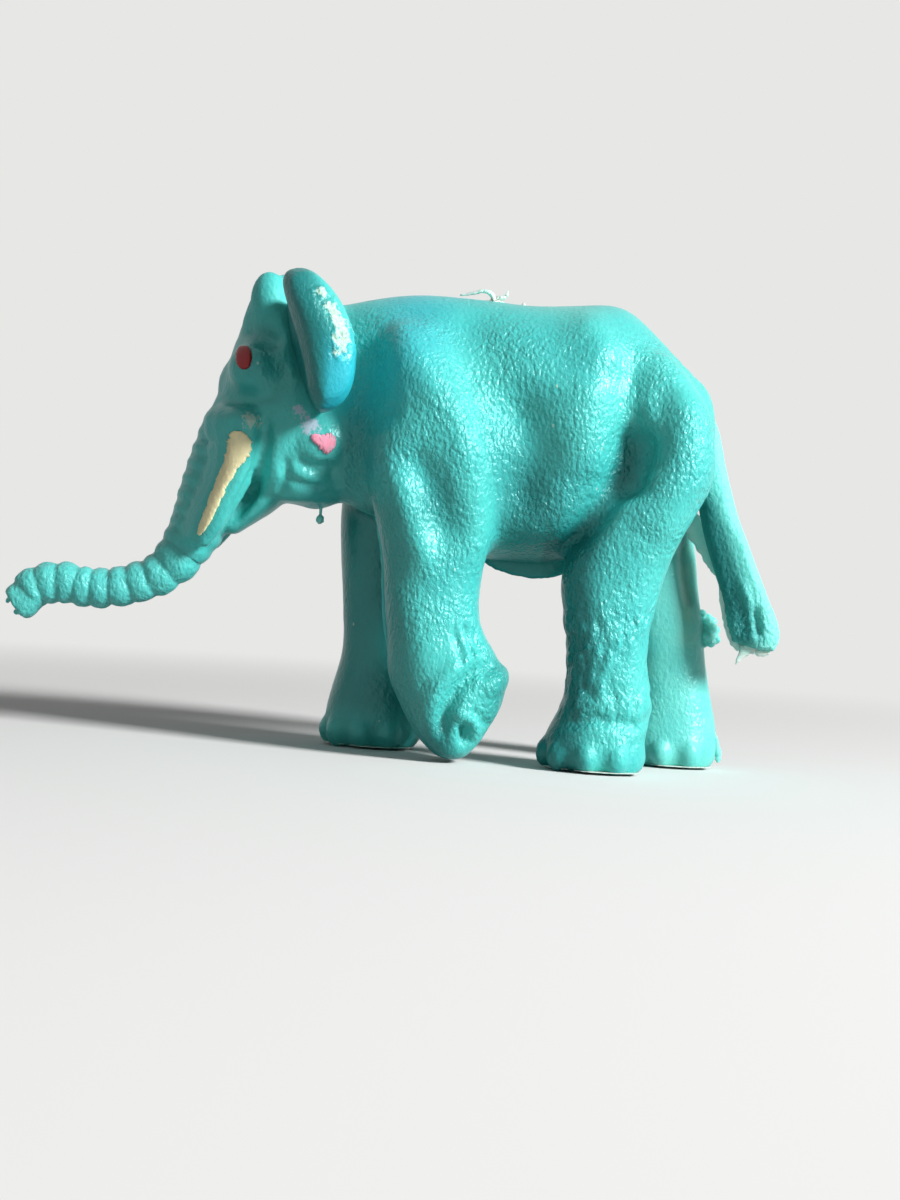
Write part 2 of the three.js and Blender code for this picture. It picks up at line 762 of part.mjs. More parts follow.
// Tail: a strap that hangs behind the rump, wider from front to back than from side to side, and swells into
// a tuft. Its stub is part of the body.
const TAIL_PIVOT = new THREE.Vector3(NECK_X + BODY_LENGTH + 2.5, 0, 23.6);
const TAIL_STUB_TOP = new THREE.Vector3(NECK_X + BODY_LENGTH + 0.6, 0, 28.2);
// Place, how far back and down the middle lies, and how far the strap and the tuft have come in
const tailProfile = profile([
  [0, 0, 0, 0, 0],
  [0.22, 0.06, 0.22, 0.55, 0],
  [0.45, 0.15, 0.46, 1, 0],
  [0.7, 0.245, 0.7, 1, 0.4],
  [0.88, 0.32, 0.88, 1, 1],
  [1, 0.344, 0.99, 1, 0.75],
]);

function tailSection(share) {
  const [back, down, strap, tuft] = tailProfile(share);
  const deep = THREE.MathUtils.lerp(TAIL_RADIUS, TAIL_STRAP, strap);
  return {
    centre: TAIL_PIVOT.clone().add(new THREE.Vector3(back * TAIL_TALL, 0, -down * TAIL_TALL)),
    wide: THREE.MathUtils.lerp(TAIL_RADIUS, TAIL_TUFT_WIDE, tuft),
    over: THREE.MathUtils.lerp(deep, TAIL_TUFT_DEEP, tuft),
  };
}

const tailHeading = tailSection(0.1).centre.clone().sub(TAIL_PIVOT).normalize();

function tailStub(grow) {
  return loft({
    section: (share) => ({
      centre: TAIL_STUB_TOP.clone().lerp(TAIL_PIVOT, share),
      wide: TAIL_RADIUS + HAIRLINE + 0.4 * (1 - share),
      over: TAIL_RADIUS + HAIRLINE + 0.2 * (1 - share),
    }),
    steps: 4,
    sides: SMALL_SIDES,
    startRound: TAIL_RADIUS,
    grow,
  });
}

// A coat of paint: the part of a thin skin over a form that lies inside the brush stroke.
function coat(form, stroke) {
  return form(COAT_GAP + COAT).intersect(stroke).subtract(form(COAT_GAP));
}

function eyeCoat(hand) {
  const brow = browLump(hand);
  const stroke = ellipsoid(
    [brow.at[0] - 0.4, brow.at[1] + hand * brow.size[1], brow.at[2] + 0.4],
    [EYE_WIDE / 2, 1.2, EYE_TALL / 2],
  );
  return coat((grow) => ellipsoid(brow.at, brow.size, grow), stroke);
}

function cheekCoat(hand) {
  const cheek = cheekLump(hand);
  const stroke = ellipsoid(
    [cheek.at[0] + 0.5, cheek.at[1] + hand * cheek.size[1], cheek.at[2] - 0.3],
    [1, 1.1, 0.75],
  );
  return coat((grow) => ellipsoid(cheek.at, cheek.size, grow), stroke);
}

// The stroke covers the outer front of the tusk, from under its knob to near its tip.
function tuskCoat(hand) {
  const line = tuskSection(hand);
  const stroke = loft({
    section: (share) => {
      const { centre, wide } = line(share);
      return {
        centre: centre.clone().add(new THREE.Vector3(-wide * 0.3, hand * wide * 0.75, 0)),
        wide: wide * 1.02,
        over: wide * 1.02,
      };
    },
    from: 0.14,
    to: 0.86,
    steps: 5,
    sides: SMALL_SIDES,
    startRound: TUSK_RADIUS * 0.5,
    endRound: TUSK_RADIUS * 0.5,
  });
  const film = coat((grow) => tuskForm(hand, grow), stroke);
  return cutBy(film, [headForm(HAIRLINE), trunkRootForm(HAIRLINE), tuskForm(hand, COAT_GAP)]);
}

function gateStub() {
  const place = [NECK_X + BODY_LENGTH * 0.41, 0, BACK_HEIGHT];
  const size = [GATE_STUB_LENGTH / 2, GATE_STUB_LENGTH * 0.3, GATE_STUB_HEIGHT];
  return ellipsoid(place, size).subtract(torsoSolid(HAIRLINE));
}

const rubber = { color: "#3fb3ab", roughness: 0.42, metalness: 0 };
const cream = { color: "#e9dfa6", roughness: 0.5, metalness: 0 };
const red = { color: "#7d0f12", roughness: 0.35, metalness: 0 };
const pink = { color: "#e596ad", roughness: 0.6, metalness: 0 };

const figure = new THREE.Group();

function add(name, shape, look) {
  const { vertProperties, triVerts } = shape.getMesh();
  const geometry = new THREE.BufferGeometry();
  geometry.setAttribute("position", new THREE.BufferAttribute(vertProperties, 3));
  geometry.setIndex(new THREE.BufferAttribute(triVerts, 1));
  geometry.computeVertexNormals();
  const mesh = new THREE.Mesh(geometry, new THREE.MeshStandardMaterial(look));
  mesh.name = name;
  figure.add(mesh);
}

const torso = cutBy(
  torsoSolid().add(bellyFlash()),
  [seatCut(TAIL_PIVOT, tailHeading, TAIL_RADIUS)],
);
add("torso", torso, rubber);
add("gate_stub", gateStub(), rubber);

for (const leg of LEGS) {
  add(leg.name, legSolid(leg), rubber);
}

const earSeats = [LEFT, RIGHT].map((hand) => earBead(hand, EAR_BEAD_RADIUS + EAR_SLOT));
add("head", cutBy(headForm(), [torsoSolid(HAIRLINE), trunkRootForm(HAIRLINE), ...earSeats]), rubber);
add("lower_jaw", cutBy(jawForm(), [headForm(HAIRLINE), trunkRootForm(HAIRLINE)]), rubber);
add("trunk_root", cutBy(trunkRootForm(), [trunkSeat(TRUNK_BEND)]), rubber);

const bend = trunkPivot(TRUNK_BEND);
const middle = trunkPiece(TRUNK_BEND, TRUNK_TIP_BEND, { startRound: bend.radius });
add("trunk_middle", cutBy(middle, [trunkSeat(TRUNK_TIP_BEND)]), rubber);
const tipBend = trunkPivot(TRUNK_TIP_BEND);
add("trunk_end", trunkPiece(TRUNK_TIP_BEND, 1, { startRound: tipBend.radius, endRound: 0.7 }), rubber);

add("tail", loft({
  section: tailSection,
  steps: 12,
  sides: SMALL_SIDES,
  startRound: TAIL_RADIUS,
  endRound: TAIL_TUFT_WIDE * 0.5,
}), rubber);

for (const [label, hand] of [["left", LEFT], ["right", RIGHT]]) {
  add(`ear_${label}`, earSolid(hand), rubber);
  add(`tusk_${label}`, cutBy(tuskForm(hand), [headForm(HAIRLINE), trunkRootForm(HAIRLINE)]), rubber);
  add(`eye_paint_${label}`, eyeCoat(hand), red);
  add(`tusk_paint_${label}`, tuskCoat(hand), cream);
  add(`cheek_paint_${label}`, cheekCoat(hand), pink);
}

// The origin is under the middle of the whole figure.
const bounds = new THREE.Box3().setFromObject(figure);
const centre = bounds.getCenter(new THREE.Vector3());
figure.position.set(-centre.x, -centre.y, -bounds.min.z);

export default figure;
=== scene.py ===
# %% [markdown]
# # A rubber elephant
# The object is a small walking elephant, moulded in one shot of soft turquoise rubber and touched up with
# three colours of paint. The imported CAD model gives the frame: where each zone of the body is, and the joints
# where the trunk, the ears and the tail flex. This lesson models the skin over it as a sculptor would: rough
# clay forms first, then the muscles, the folds and the grain, and at last the paint and the finishes.

# %% Load the frame
import math

import bmesh
import bpy
import numpy as np
from mathutils import Matrix, Vector, noise
from mathutils.bvhtree import BVHTree


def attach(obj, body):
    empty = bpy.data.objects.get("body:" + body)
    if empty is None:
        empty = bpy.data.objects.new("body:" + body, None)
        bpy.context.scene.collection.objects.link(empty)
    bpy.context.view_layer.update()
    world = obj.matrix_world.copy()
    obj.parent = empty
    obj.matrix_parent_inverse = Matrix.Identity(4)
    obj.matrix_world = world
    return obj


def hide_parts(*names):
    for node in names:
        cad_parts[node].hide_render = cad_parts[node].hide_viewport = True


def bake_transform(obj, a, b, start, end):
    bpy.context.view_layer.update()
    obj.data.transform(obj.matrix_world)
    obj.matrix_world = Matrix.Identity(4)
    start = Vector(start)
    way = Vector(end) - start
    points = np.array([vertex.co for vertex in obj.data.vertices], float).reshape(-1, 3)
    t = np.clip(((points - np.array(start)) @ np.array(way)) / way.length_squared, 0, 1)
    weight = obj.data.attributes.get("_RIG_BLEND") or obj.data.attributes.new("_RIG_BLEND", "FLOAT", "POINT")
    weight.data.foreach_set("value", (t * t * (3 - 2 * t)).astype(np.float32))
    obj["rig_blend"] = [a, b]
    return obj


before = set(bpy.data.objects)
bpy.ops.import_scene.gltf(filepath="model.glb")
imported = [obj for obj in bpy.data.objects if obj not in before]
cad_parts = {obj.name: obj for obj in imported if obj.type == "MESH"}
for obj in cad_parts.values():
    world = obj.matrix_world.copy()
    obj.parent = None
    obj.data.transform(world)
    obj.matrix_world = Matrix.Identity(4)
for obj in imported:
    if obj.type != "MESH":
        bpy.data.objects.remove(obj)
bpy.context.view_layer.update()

# %% [markdown]
# ## Units and sides
# The frame is in metres, and a toy is easier to describe in millimetres. So every shape is drawn in
# millimetres and made smaller by `MM` once, when its mesh becomes an object. The elephant looks along -X and
# its left side, the one in the photograph, is at -Y.

# %% Units
MM = 0.001
LEFT = -1
RIGHT = 1
BOTH = (LEFT, RIGHT)
INNER = 0  # stands for the inner faces of the right legs, which are seen between the left ones
SIDE_NAMES = {LEFT: "left", RIGHT: "right"}
X_AXIS = Vector((1, 0, 0))
Y_AXIS = Vector((0, 1, 0))
DOWN = Vector((0, 0, -1))
print("drawn in units of", MM, "m; axes:", X_AXIS, Y_AXIS, DOWN)

# %% [markdown]
# ## Curves through measured places
# Every organic form here is a loft: rings of different sizes, joined up. Only a few rings are measured, and
# a smooth curve runs through them. A cubic curve with slopes taken from its neighbours does this without
# overshooting much, which straight steps or a single polynomial wouldn't.

# %% Smooth tables
def smooth_table(rows):
    """A smooth curve through rows of numbers. The first number of each row is its place on the curve."""
    table = np.array(rows, float)
    place, values = table[:, 0], table[:, 1:]
    slopes = np.gradient(values, place, axis=0)

    def at(where):
        where = min(max(where, place[0]), place[-1])
        row = min(int(np.searchsorted(place, where, side="right")) - 1, len(place) - 2)
        step = place[row + 1] - place[row]
        t = (where - place[row]) / step
        return ((2 * t**3 - 3 * t**2 + 1) * values[row] + (t**3 - 2 * t**2 + t) * step * slopes[row]
                + (3 * t**2 - 2 * t**3) * values[row + 1] + (t**3 - t**2) * step * slopes[row + 1])
    return at


def numbered_table(rows):
    """A smooth curve through rows whose places on it are 0, 1, 2 and so on."""
    return smooth_table([(index, *row) for index, row in enumerate(rows)])


def falling_table(rows):
    """A smooth curve through rows that begin with a height, highest first. Its places are minus heights."""
    return smooth_table([(-row[0], *row[1:]) for row in rows])


def heading(at, place, reach, height_column=1):
    """The way a curve runs in the side view, from `reach` before a place to `reach` after it."""
    ahead, behind = at(place + reach), at(place - reach)
    return Vector((ahead[0] - behind[0], 0, ahead[height_column] - behind[height_column]))


def sampled(at, start, end, count):
    """Places along a curve, each with what the curve gives there."""
    return [(place, *at(place)) for place in np.linspace(start, end, count)]


# %% Lofts and lumps
def add_ring(bm, centre, forward, side, wide, over, square, sides):
    """One ring of a loft, square to `forward`: `wide` to each side and `over` up and down."""
    ring = bmesh.ops.create_circle(bm, cap_ends=False, radius=1, segments=sides)["verts"]
    forward = Vector(forward).normalized()
    across = (Vector(side) - forward * forward.dot(Vector(side))).normalized()
    up = across.cross(forward)
    for vert in ring:
        x, y = (math.copysign(abs(value) ** (2 / square), value) for value in vert.co.xy)
        vert.co = Vector(centre) + across * x * wide + up * y * over
    return list(dict.fromkeys(edge for vert in ring for edge in vert.link_edges))


def loft(bm, rings, sides=28, square=2.2):
    """Bridges rings of (centre, forward, side, wide, over) into one closed tube."""
    row = [add_ring(bm, *ring, square, sides) for ring in rings]
    for near, far in zip(row[:-1], row[1:]):
        bmesh.ops.bridge_loops(bm, edges=near + far)
    for end in (row[0], row[-1]):
        bmesh.ops.edgeloop_fill(bm, edges=end)


def round_end(ring, length, steps=4):
    """The rings that round off the end of a loft, beyond its last ring."""
    centre, forward, side, wide, over = ring
    out = Vector(forward).normalized() * length
    turns = [0.5 * math.pi * step / (steps + 0.3) for step in range(1, steps + 1)]
    return [(Vector(centre) + out * math.sin(turn), forward, side,
             wide * math.cos(turn), over * math.cos(turn)) for turn in turns]


def lump(bm, centre, size, turn=0.0):
    """A ball of clay, stretched to a half size along X, Y and Z and turned about Y by degrees."""
    place = Matrix.Translation(centre) @ Matrix.Rotation(math.radians(turn), 4, "Y")
    bmesh.ops.create_icosphere(bm, subdivisions=3, radius=1, matrix=place @ Matrix.Diagonal((*size, 1)))


# %% [markdown]
# ## From clay to one skin
# The real toy has no seams between body, legs and head, so overlapping lumps have to become one surface. A
# voxel remesh does that: it takes the outside of all the shells together, in even quads. Smoothing the new
# skin then runs the forms into each other as a thumb does on clay. It is done twice, first coarse for the big
# forms and then fine, so that small forms are added after the strong smoothing.

# %% Objects and remeshing
def new_piece(name, bm):
    """Makes an object at the origin from a bmesh drawn in millimetres."""
    bmesh.ops.scale(bm, vec=(MM, MM, MM), verts=bm.verts)
    mesh = bpy.data.meshes.new(name)
    bm.to_mesh(mesh)
    bm.free()
    mesh.shade_smooth()
    piece = bpy.data.objects.new(name, mesh)
    bpy.context.scene.collection.objects.link(piece)
    return piece


def bake_modifiers(piece):
    """Makes what the modifiers show the piece's own mesh."""
    depsgraph = bpy.context.evaluated_depsgraph_get()
    mesh = bpy.data.meshes.new_from_object(piece.evaluated_get(depsgraph))
    piece.modifiers.clear()
    old, piece.data = piece.data, mesh
    bpy.data.meshes.remove(old)
    mesh.name = piece.name
    mesh.shade_smooth()


def one_skin(piece, voxel, smoothing):
    """One closed skin round everything in the piece: `voxel` in millimetres, then rounds of smoothing."""
    remesh = piece.modifiers.new("one_skin", "REMESH")
    remesh.mode = "VOXEL"
    remesh.voxel_size = voxel * MM
    remesh.adaptivity = 0
    soften = piece.modifiers.new("soften", "SMOOTH")
    soften.factor = 0.5
    soften.iterations = smoothing
    bake_modifiers(piece)
    print(piece.name, "skin:", len(piece.data.polygons), "faces at", voxel, "mm")


CLAY_VOXEL = 0.45
SKIN_VOXEL = 0.27
TRUNK_VOXEL = 0.13
EAR_VOXEL = 0.2
TAIL_VOXEL = 0.17
CRUMB_VOXEL = 0.1

# %% [markdown]
# ## Sculpting in code
# A sculpting brush pushes the surface along its normal, most in the middle of the stroke. `carve` does the
# same along a line that is drawn on the side view, in millimetres: a depth below zero makes a groove and one
# above zero a ridge. The stroke reaches only the skin that faces its own side.

# %% Reading and pushing a surface
def read_rows(items, field):
    rows = np.empty(len(items) * 3, np.float32)
    items.foreach_get(field, rows)
    return rows.reshape(-1, 3).astype(float)


def surface_of(piece):
    """The piece's points in millimetres and their normals, as two tables with one row per point."""
    return read_rows(piece.data.vertices, "co") / MM, read_rows(piece.data.vertex_normals, "vector")


def push_out(piece, distances):
    """Moves every point along its normal by its own distance in millimetres."""
    points, normals = surface_of(piece)
    moved = points + normals * distances[:, None]
    piece.data.vertices.foreach_set("co", (moved * MM).astype(np.float32).ravel())
    piece.data.update()


def near_line(places, line):
    """How far each place is from a line, and where along the line that is, from 0 to 1."""
    line = np.array(line, float)
    lengths = np.linalg.norm(np.diff(line, axis=0), axis=1)
    best = np.full(len(places), np.inf)
    along = np.zeros(len(places))
    before = 0.0
    for start, end, length in zip(line[:-1], line[1:], lengths):
        t = np.clip((places - start) @ (end - start) / length**2, 0, 1)
        gap = np.linalg.norm(places - start - t[:, None] * (end - start), axis=1)
        nearer = gap < best
        best[nearer] = gap[nearer]
        along[nearer] = (before + t[nearer] * length) / lengths.sum()
        before += length
    return best, along


# %% Sculpting brush
def faces_side(points, normals, hand, soft=0.35):
    """1 where the skin faces the left or the right side, falling to 0 where it faces away."""
    facing = np.clip(hand * normals[:, 1] / soft * 0.5 + 0.5, 0, 1)
    return facing * (hand * points[:, 1] > 0.3)


def stroke_push(points, normals, strokes):
    """How far strokes push every point. A stroke is (hands, depth, radius, side view line)."""
    push = np.zeros(len(points))
    sides = {hand: faces_side(points, normals, hand) for hand in BOTH}
    sides[INNER] = np.clip(0.5 - normals[:, 1] / 0.7, 0, 1) * (points[:, 1] > 0.8)
    for hands, depth, radius, line in strokes:
        gap, along = near_line(points[:, [0, 2]], line)
        long = np.linalg.norm(np.diff(line, axis=0), axis=1).sum() > 4 * radius
        brush = np.exp(-(gap / radius) ** 2) * (1 - 0.7 * long * (2 * along - 1) ** 6)
        for hand in hands:
            push += depth * brush * sides[hand]
    return push


def carve(piece, strokes):
    push_out(piece, stroke_push(*surface_of(piece), strokes))


# %% [markdown]
# ## Barrel and legs
# The body is a barrel along X, and each leg is a column that starts as the muscle over the shoulder or the
# thigh. A box with subdivision could be pulled to the same shapes, but measured rings keep the silhouette of
# the real toy: each row gives where its front and its back are at that height. The left foreleg is bent at
# the wrist and stands on its toes.

# %% Barrel
BARREL_ROWS = [  # x, top, bottom, half width
    (-6.0, 36.9, 21.4, 4.0),
    (-4.0, 37.4, 20.2, 5.2),
    (-0.1, 38.1, 18.9, 6.6),
    (4.9, 38.1, 17.1, 7.7),
    (9.8, 37.8, 16.5, 8.4),
    (13.7, 38.0, 16.8, 8.3),
    (17.5, 38.1, 18.8, 7.1),
    (21.1, 35.2, 21.0, 5.8),
    (23.8, 32.6, 23.2, 4.2),
]

rings = [((x, 0, (top + bottom) / 2), X_AXIS, Y_AXIS, wide, (top - bottom) / 2) for x, top, bottom, wide
         in sampled(smooth_table(BARREL_ROWS), BARREL_ROWS[0][0], BARREL_ROWS[-1][0], 26)]
clay = bmesh.new()
loft(clay, rings + round_end(rings[-1], 1.9), sides=40)
print("barrel:", len(clay.faces), "faces")

# %% Legs
LEG_ROWS = {  # height, front, back, middle out from the body's middle, half width
    "foreleg_left": [
        (35, -1.6, 3.6, -4.0, 2.2), (32, -2.6, 5.6, -4.6, 3.4), (28.5, -2.9, 6.8, -5.0, 3.9),
        (25, -2.8, 7.4, -5.2, 4.0), (21, -2.3, 7.4, -5.2, 3.8), (18, -1.5, 7.3, -5.1, 3.5),
        (15.8, -1.0, 7.1, -5.0, 3.3), (13.2, -0.8, 7.0, -5.0, 3.2), (11.2, -0.5, 7.2, -5.0, 3.25),
        (9.8, -0.3, 7.9, -5.0, 3.35), (8.3, -0.2, 9.0, -5.0, 3.5), (6.7, -0.05, 9.6, -5.0, 3.6),
        (4.9, 0.8, 9.4, -5.0, 3.6), (3.0, 1.85, 8.5, -5.0, 3.4), (1.4, 3.05, 7.45, -5.0, 3.0),
        (0.2, 4.5, 6.5, -5.0, 2.5),
    ],
    "foreleg_right": [
        (35, -1.6, 3.6, 4.0, 2.2), (32, -2.9, 5.2, 4.6, 3.4), (28.5, -3.8, 5.4, 5.0, 3.9),
        (25, -4.7, 4.4, 5.2, 4.0), (22, -5.2, 3.2, 5.2, 3.8), (19.7, -5.3, 2.5, 5.1, 3.5),
        (15.8, -5.0, 2.1, 5.0, 3.3), (10.7, -4.5, 2.1, 5.0, 3.1), (8.1, -4.4, 2.2, 5.0, 3.15),
        (6.2, -4.8, 2.6, 5.0, 3.3), (3.7, -5.4, 2.9, 5.0, 3.6), (1.6, -5.5, 3.0, 5.0, 3.7),
        (0.6, -5.2, 2.8, 5.0, 3.55), (0.0, -4.7, 2.3, 5.0, 3.2),
    ],
    "hindleg_left": [
        (34, 17.4, 21.2, -3.8, 2.2), (31, 17.6, 23.4, -4.5, 3.4), (27, 18.0, 24.8, -5.1, 4.0),
        (23.5, 17.2, 24.9, -5.3, 4.0), (21, 15.6, 23.7, -5.3, 3.8), (18.5, 14.4, 22.6, -5.2, 3.5),
        (16, 13.4, 21.8, -5.1, 3.3), (12, 13.8, 20.9, -5.1, 3.15), (8.6, 14.3, 20.8, -5.1, 3.1),
        (6.2, 14.2, 21.3, -5.1, 3.2), (4.4, 13.7, 21.5, -5.1, 3.4), (2.9, 12.9, 20.8, -5.1, 3.65),
        (1.2, 12.8, 21.3, -5.1, 3.7), (0.0, 13.6, 20.8, -5.1, 3.4),
    ],
    "hindleg_right": [
        (34, 17.4, 21.2, 3.8, 2.2), (31, 17.8, 23.4, 4.5, 3.4), (27, 18.0, 24.8, 5.1, 4.0),
        (23, 17.9, 25.2, 5.3, 4.0), (19, 17.9, 25.3, 5.2, 3.6), (14.4, 18.7, 25.8, 5.1, 3.3),
        (11, 19.6, 26.6, 5.1, 3.15), (8, 20.3, 27.1, 5.1, 3.1), (5.8, 20.2, 27.6, 5.1, 3.25),
        (4.2, 19.9, 28.0, 5.1, 3.4), (2.5, 19.6, 28.3, 5.1, 3.65), (1.2, 19.9, 28.4, 5.1, 3.7),
        (0.0, 20.8, 28.0, 5.1, 3.4),
    ],
}


def column_rings(rows, count):
    """Level rings down a leg or the skull, which has no number for how far out its middle is."""
    steps = sampled(falling_table(rows), -rows[0][0], -rows[-1][0], count)
    return [(((front + back) / 2, sum(out), -down), DOWN, Y_AXIS, wide, (back - front) / 2)
            for down, front, back, *out, wide in steps]


for rows in LEG_ROWS.values():
    loft(clay, column_rings(rows, 40), square=2.3)
print("with legs:", len(clay.faces), "faces")

# %% [markdown]
# ## Skull
# The skull is lofted from the crown down to the throat in the same way. Its front runs straight into the
# trunk, so the rows end behind the line where the trunk begins. A ball fills the throat.

# %% Skull
SKULL_ROWS = [  # height, front, back, half width
    (39.1, -11.5, -9.4, 1.4), (38.4, -12.6, -8.0, 2.8), (37.0, -13.5, -6.6, 3.9), (35.0, -14.1, -5.6, 4.6),
    (32.0, -14.9, -5.0, 5.0), (29.0, -15.6, -4.7, 5.1), (26.0, -15.4, -4.6, 5.0), (23.5, -14.2, -4.8, 4.7),
    (21.4, -12.8, -5.0, 4.0), (20.2, -11.2, -5.8, 3.0),
]

loft(clay, column_rings(SKULL_ROWS, 30), sides=36, square=2.3)
lump(clay, (-7.2, 0, 22.6), (2.9, 3.3, 2.9))
print("with skull:", len(clay.faces), "faces")

# %% First skin, softened
skin = new_piece("skin", clay)
one_skin(skin, CLAY_VOXEL, smoothing=16)

# %% [markdown]
# ## Muscles
# The shoulder blade, the ribs, the hip and the thigh are broad swellings, with a hollow behind the shoulder
# and a deep pocket between the belly and the thigh. Most lie the same on both sides of the body.

# %% Broad strokes
BROAD_STROKES = [  # sides, depth, radius, line of (x, z)
    (BOTH, 0.65, 1.6, [(-1.6, 34.6), (0.9, 31.6), (3.4, 28.3), (5.1, 25.7), (6.1, 23.0), (6.6, 18.4),
                       (6.7, 16.0)]),
    (BOTH, -0.7, 1.8, [(-3.4, 33.4), (-2.8, 29.6), (-1.2, 26.2)]),
    (BOTH, -0.5, 2.2, [(5.2, 34.4), (7.0, 31.0), (8.6, 28.4)]),
    (BOTH, -0.9, 2.1, [(9.4, 28.0), (10.3, 25.0), (9.8, 22.0)]),
    (BOTH, 0.65, 2.0, [(15.0, 31.4), (14.6, 27.4), (15.0, 23.4)]),
    (BOTH, 0.5, 2.0, [(12.6, 20.0), (9.8, 19.2)]),
    (BOTH, 0.8, 1.9, [(14.6, 35.0), (15.4, 33.4)]),
    (BOTH, -0.2, 1.5, [(18.4, 32.4), (17.9, 30.8), (18.0, 29.0)]),
    (BOTH, -1.9, 1.25, [(18.4, 26.3), (18.2, 24.9), (18.0, 23.4)]),
    (BOTH, -0.9, 0.8, [(17.5, 23.4), (16.6, 21.8), (15.5, 19.9), (14.0, 18.0)]),
    ((INNER,), -0.5, 0.4, [(24.0, 19.2), (24.2, 17.6), (24.4, 16.2), (24.9, 14.0)]),
    ((INNER,), 0.3, 0.5, [(24.8, 18.6), (25.2, 16.6), (25.6, 14.4), (26.2, 11.0)]),
    (BOTH, -0.55, 1.2, [(20.2, 31.6), (20.3, 28.8), (20.2, 26.2), (19.7, 24.0)]),
    (BOTH, 0.55, 1.9, [(22.0, 30.8), (22.8, 27.6), (22.9, 24.4), (21.8, 21.6), (20.0, 18.8)]),
    ((LEFT,), -0.85, 1.6, [(1.4, 23.2), (2.7, 21.2), (3.7, 18.8)]),
    ((LEFT,), 0.5, 1.2, [(-0.4, 23.4), (0.6, 20.6), (1.8, 17.6), (2.8, 14.8)]),
    ((LEFT,), 0.35, 1.6, [(2.2, 11.0), (3.0, 7.6)]),
    ((RIGHT,), -0.8, 1.2, [(-1.6, 23.6), (-0.9, 21.4), (-0.4, 19.2), (0.2, 16.8)]),
]
carve(skin, BROAD_STROKES)
print("skin after the muscles:", len(skin.data.vertices), "points")

# %% [markdown]
# ## Trunk
# The trunk is one tube from the brow down to a bend and out to its tip. Its upper part only has shallow
# wrinkles, and past the bend plump rings sit behind each other like beads with creases between them. A tube
# whose radius swells between the measured creases gives both. A curve with a bevel couldn't vary like this.
# Here the upper part is added to the clay, up to just past the crease where the plump rings start.

# %% Trunk
TRUNK_LINE = [(-13.2, 27.6), (-14.6, 24.0), (-15.8, 20.6), (-17.1, 17.1), (-19.2, 14.0), (-22.0, 12.6),
              (-25.0, 12.1), (-28.3, 12.35), (-30.1, 11.75), (-30.9, 10.9)]
TRUNK_RADII = [  # place along the line, half width, half depth in the side view
    (0.0, 3.3, 3.0), (4.2, 3.1, 2.9), (8.4, 2.7, 2.55), (12.0, 2.1, 2.1), (14.0, 1.86, 1.86),
    (16.0, 1.72, 1.7), (19.0, 1.62, 1.58), (22.0, 1.62, 1.6), (25.0, 1.68, 1.68), (27.6, 1.5, 1.5),
]
TRUNK_CREASES = [1.2, 2.5, 3.8, 5.1, 6.4, 7.7, 9.0, 10.3, 11.55, 12.8, 14.8, 16.5, 18.15, 19.8, 21.3, 22.65,
                 24.15, 25.65, 26.95]
FIRST_DEEP_CREASE = 12.8
SECOND_SPLIT = 19.8  # the crease between the two joints
CREASE_DEPTH = 0.32
WRINKLE_DEPTH = 0.24
DEEPENING = 2.4  # the stretch before the first deep crease in which the wrinkles grow to creases
TRUNK_REACH = 0.15

line_places = np.concatenate([[0], np.cumsum(np.linalg.norm(np.diff(TRUNK_LINE, axis=0), axis=1))])
trunk_at = smooth_table([(place, *point) for place, point in zip(line_places, TRUNK_LINE)])
trunk_radii = smooth_table(TRUNK_RADII)


def trunk_crease(place):
    """How far the trunk draws in here: deepest at a crease, nothing on the crest between two."""
    spots = np.array(TRUNK_CREASES)
    after = int(np.clip(np.searchsorted(spots, place), 1, len(spots) - 1))
    start, end = spots[after - 1], spots[after]
    crest = abs(math.sin(math.pi * np.clip((place - start) / (end - start), 0, 1) ** 1.15)) ** 0.5
    grown = np.clip((place - FIRST_DEEP_CREASE + DEEPENING) / DEEPENING, 0, 1)
    return (WRINKLE_DEPTH + (CREASE_DEPTH - WRINKLE_DEPTH) * grown) * (1 - crest)


def trunk_rings(start, end, per_mm=7):
    rings = []
    for place, x, z in sampled(trunk_at, start, end, int((end - start) * per_mm)):
        wide, over = trunk_radii(place) + 0.1 - trunk_crease(place)
        rings.append(((x, 0, z), heading(trunk_at, place, TRUNK_REACH), Y_AXIS, wide, over))
    return rings


detail = bmesh.new()
loft(detail, trunk_rings(0, FIRST_DEEP_CREASE + 0.8), sides=36)
print("upper trunk:", len(detail.faces), "faces")

# %% [markdown]
# ## Tusks, jaw, brow and cheeks
# The tusks are not free horns: they are ridges in relief on the sides of the trunk, from a knob under the
# brow to the bend. Three lofts side by side make each one a broad ridge, so that no step is left before it.
# The lower jaw is a blunt leaf behind them. Brow, cheeks and crown are round mounds.

# %% Tusks
TUSK_ROWS = [  # x, out, z, radius
    (-13.0, 4.0, 27.7, 1.0), (-13.1, 4.5, 26.4, 1.85), (-13.0, 4.4, 24.6, 1.6), (-13.1, 4.3, 22.8, 1.45),
    (-13.6, 4.1, 21.2, 1.3), (-14.4, 3.8, 19.5, 1.18), (-15.2, 3.4, 17.9, 1.0), (-15.9, 3.0, 16.5, 0.7),
]
tusk_at = numbered_table(TUSK_ROWS)


def tusk_rings(hand, ahead_by, in_by):
    rings = []
    for step, x, out, z, radius in sampled(tusk_at, 0, len(TUSK_ROWS) - 1, 24):
        centre = (x - ahead_by, hand * (out - in_by), z)
        rings.append((centre, heading(tusk_at, step, 0.1, height_column=2), Y_AXIS, radius, radius))
    return rings + round_end(rings[-1], 0.5)


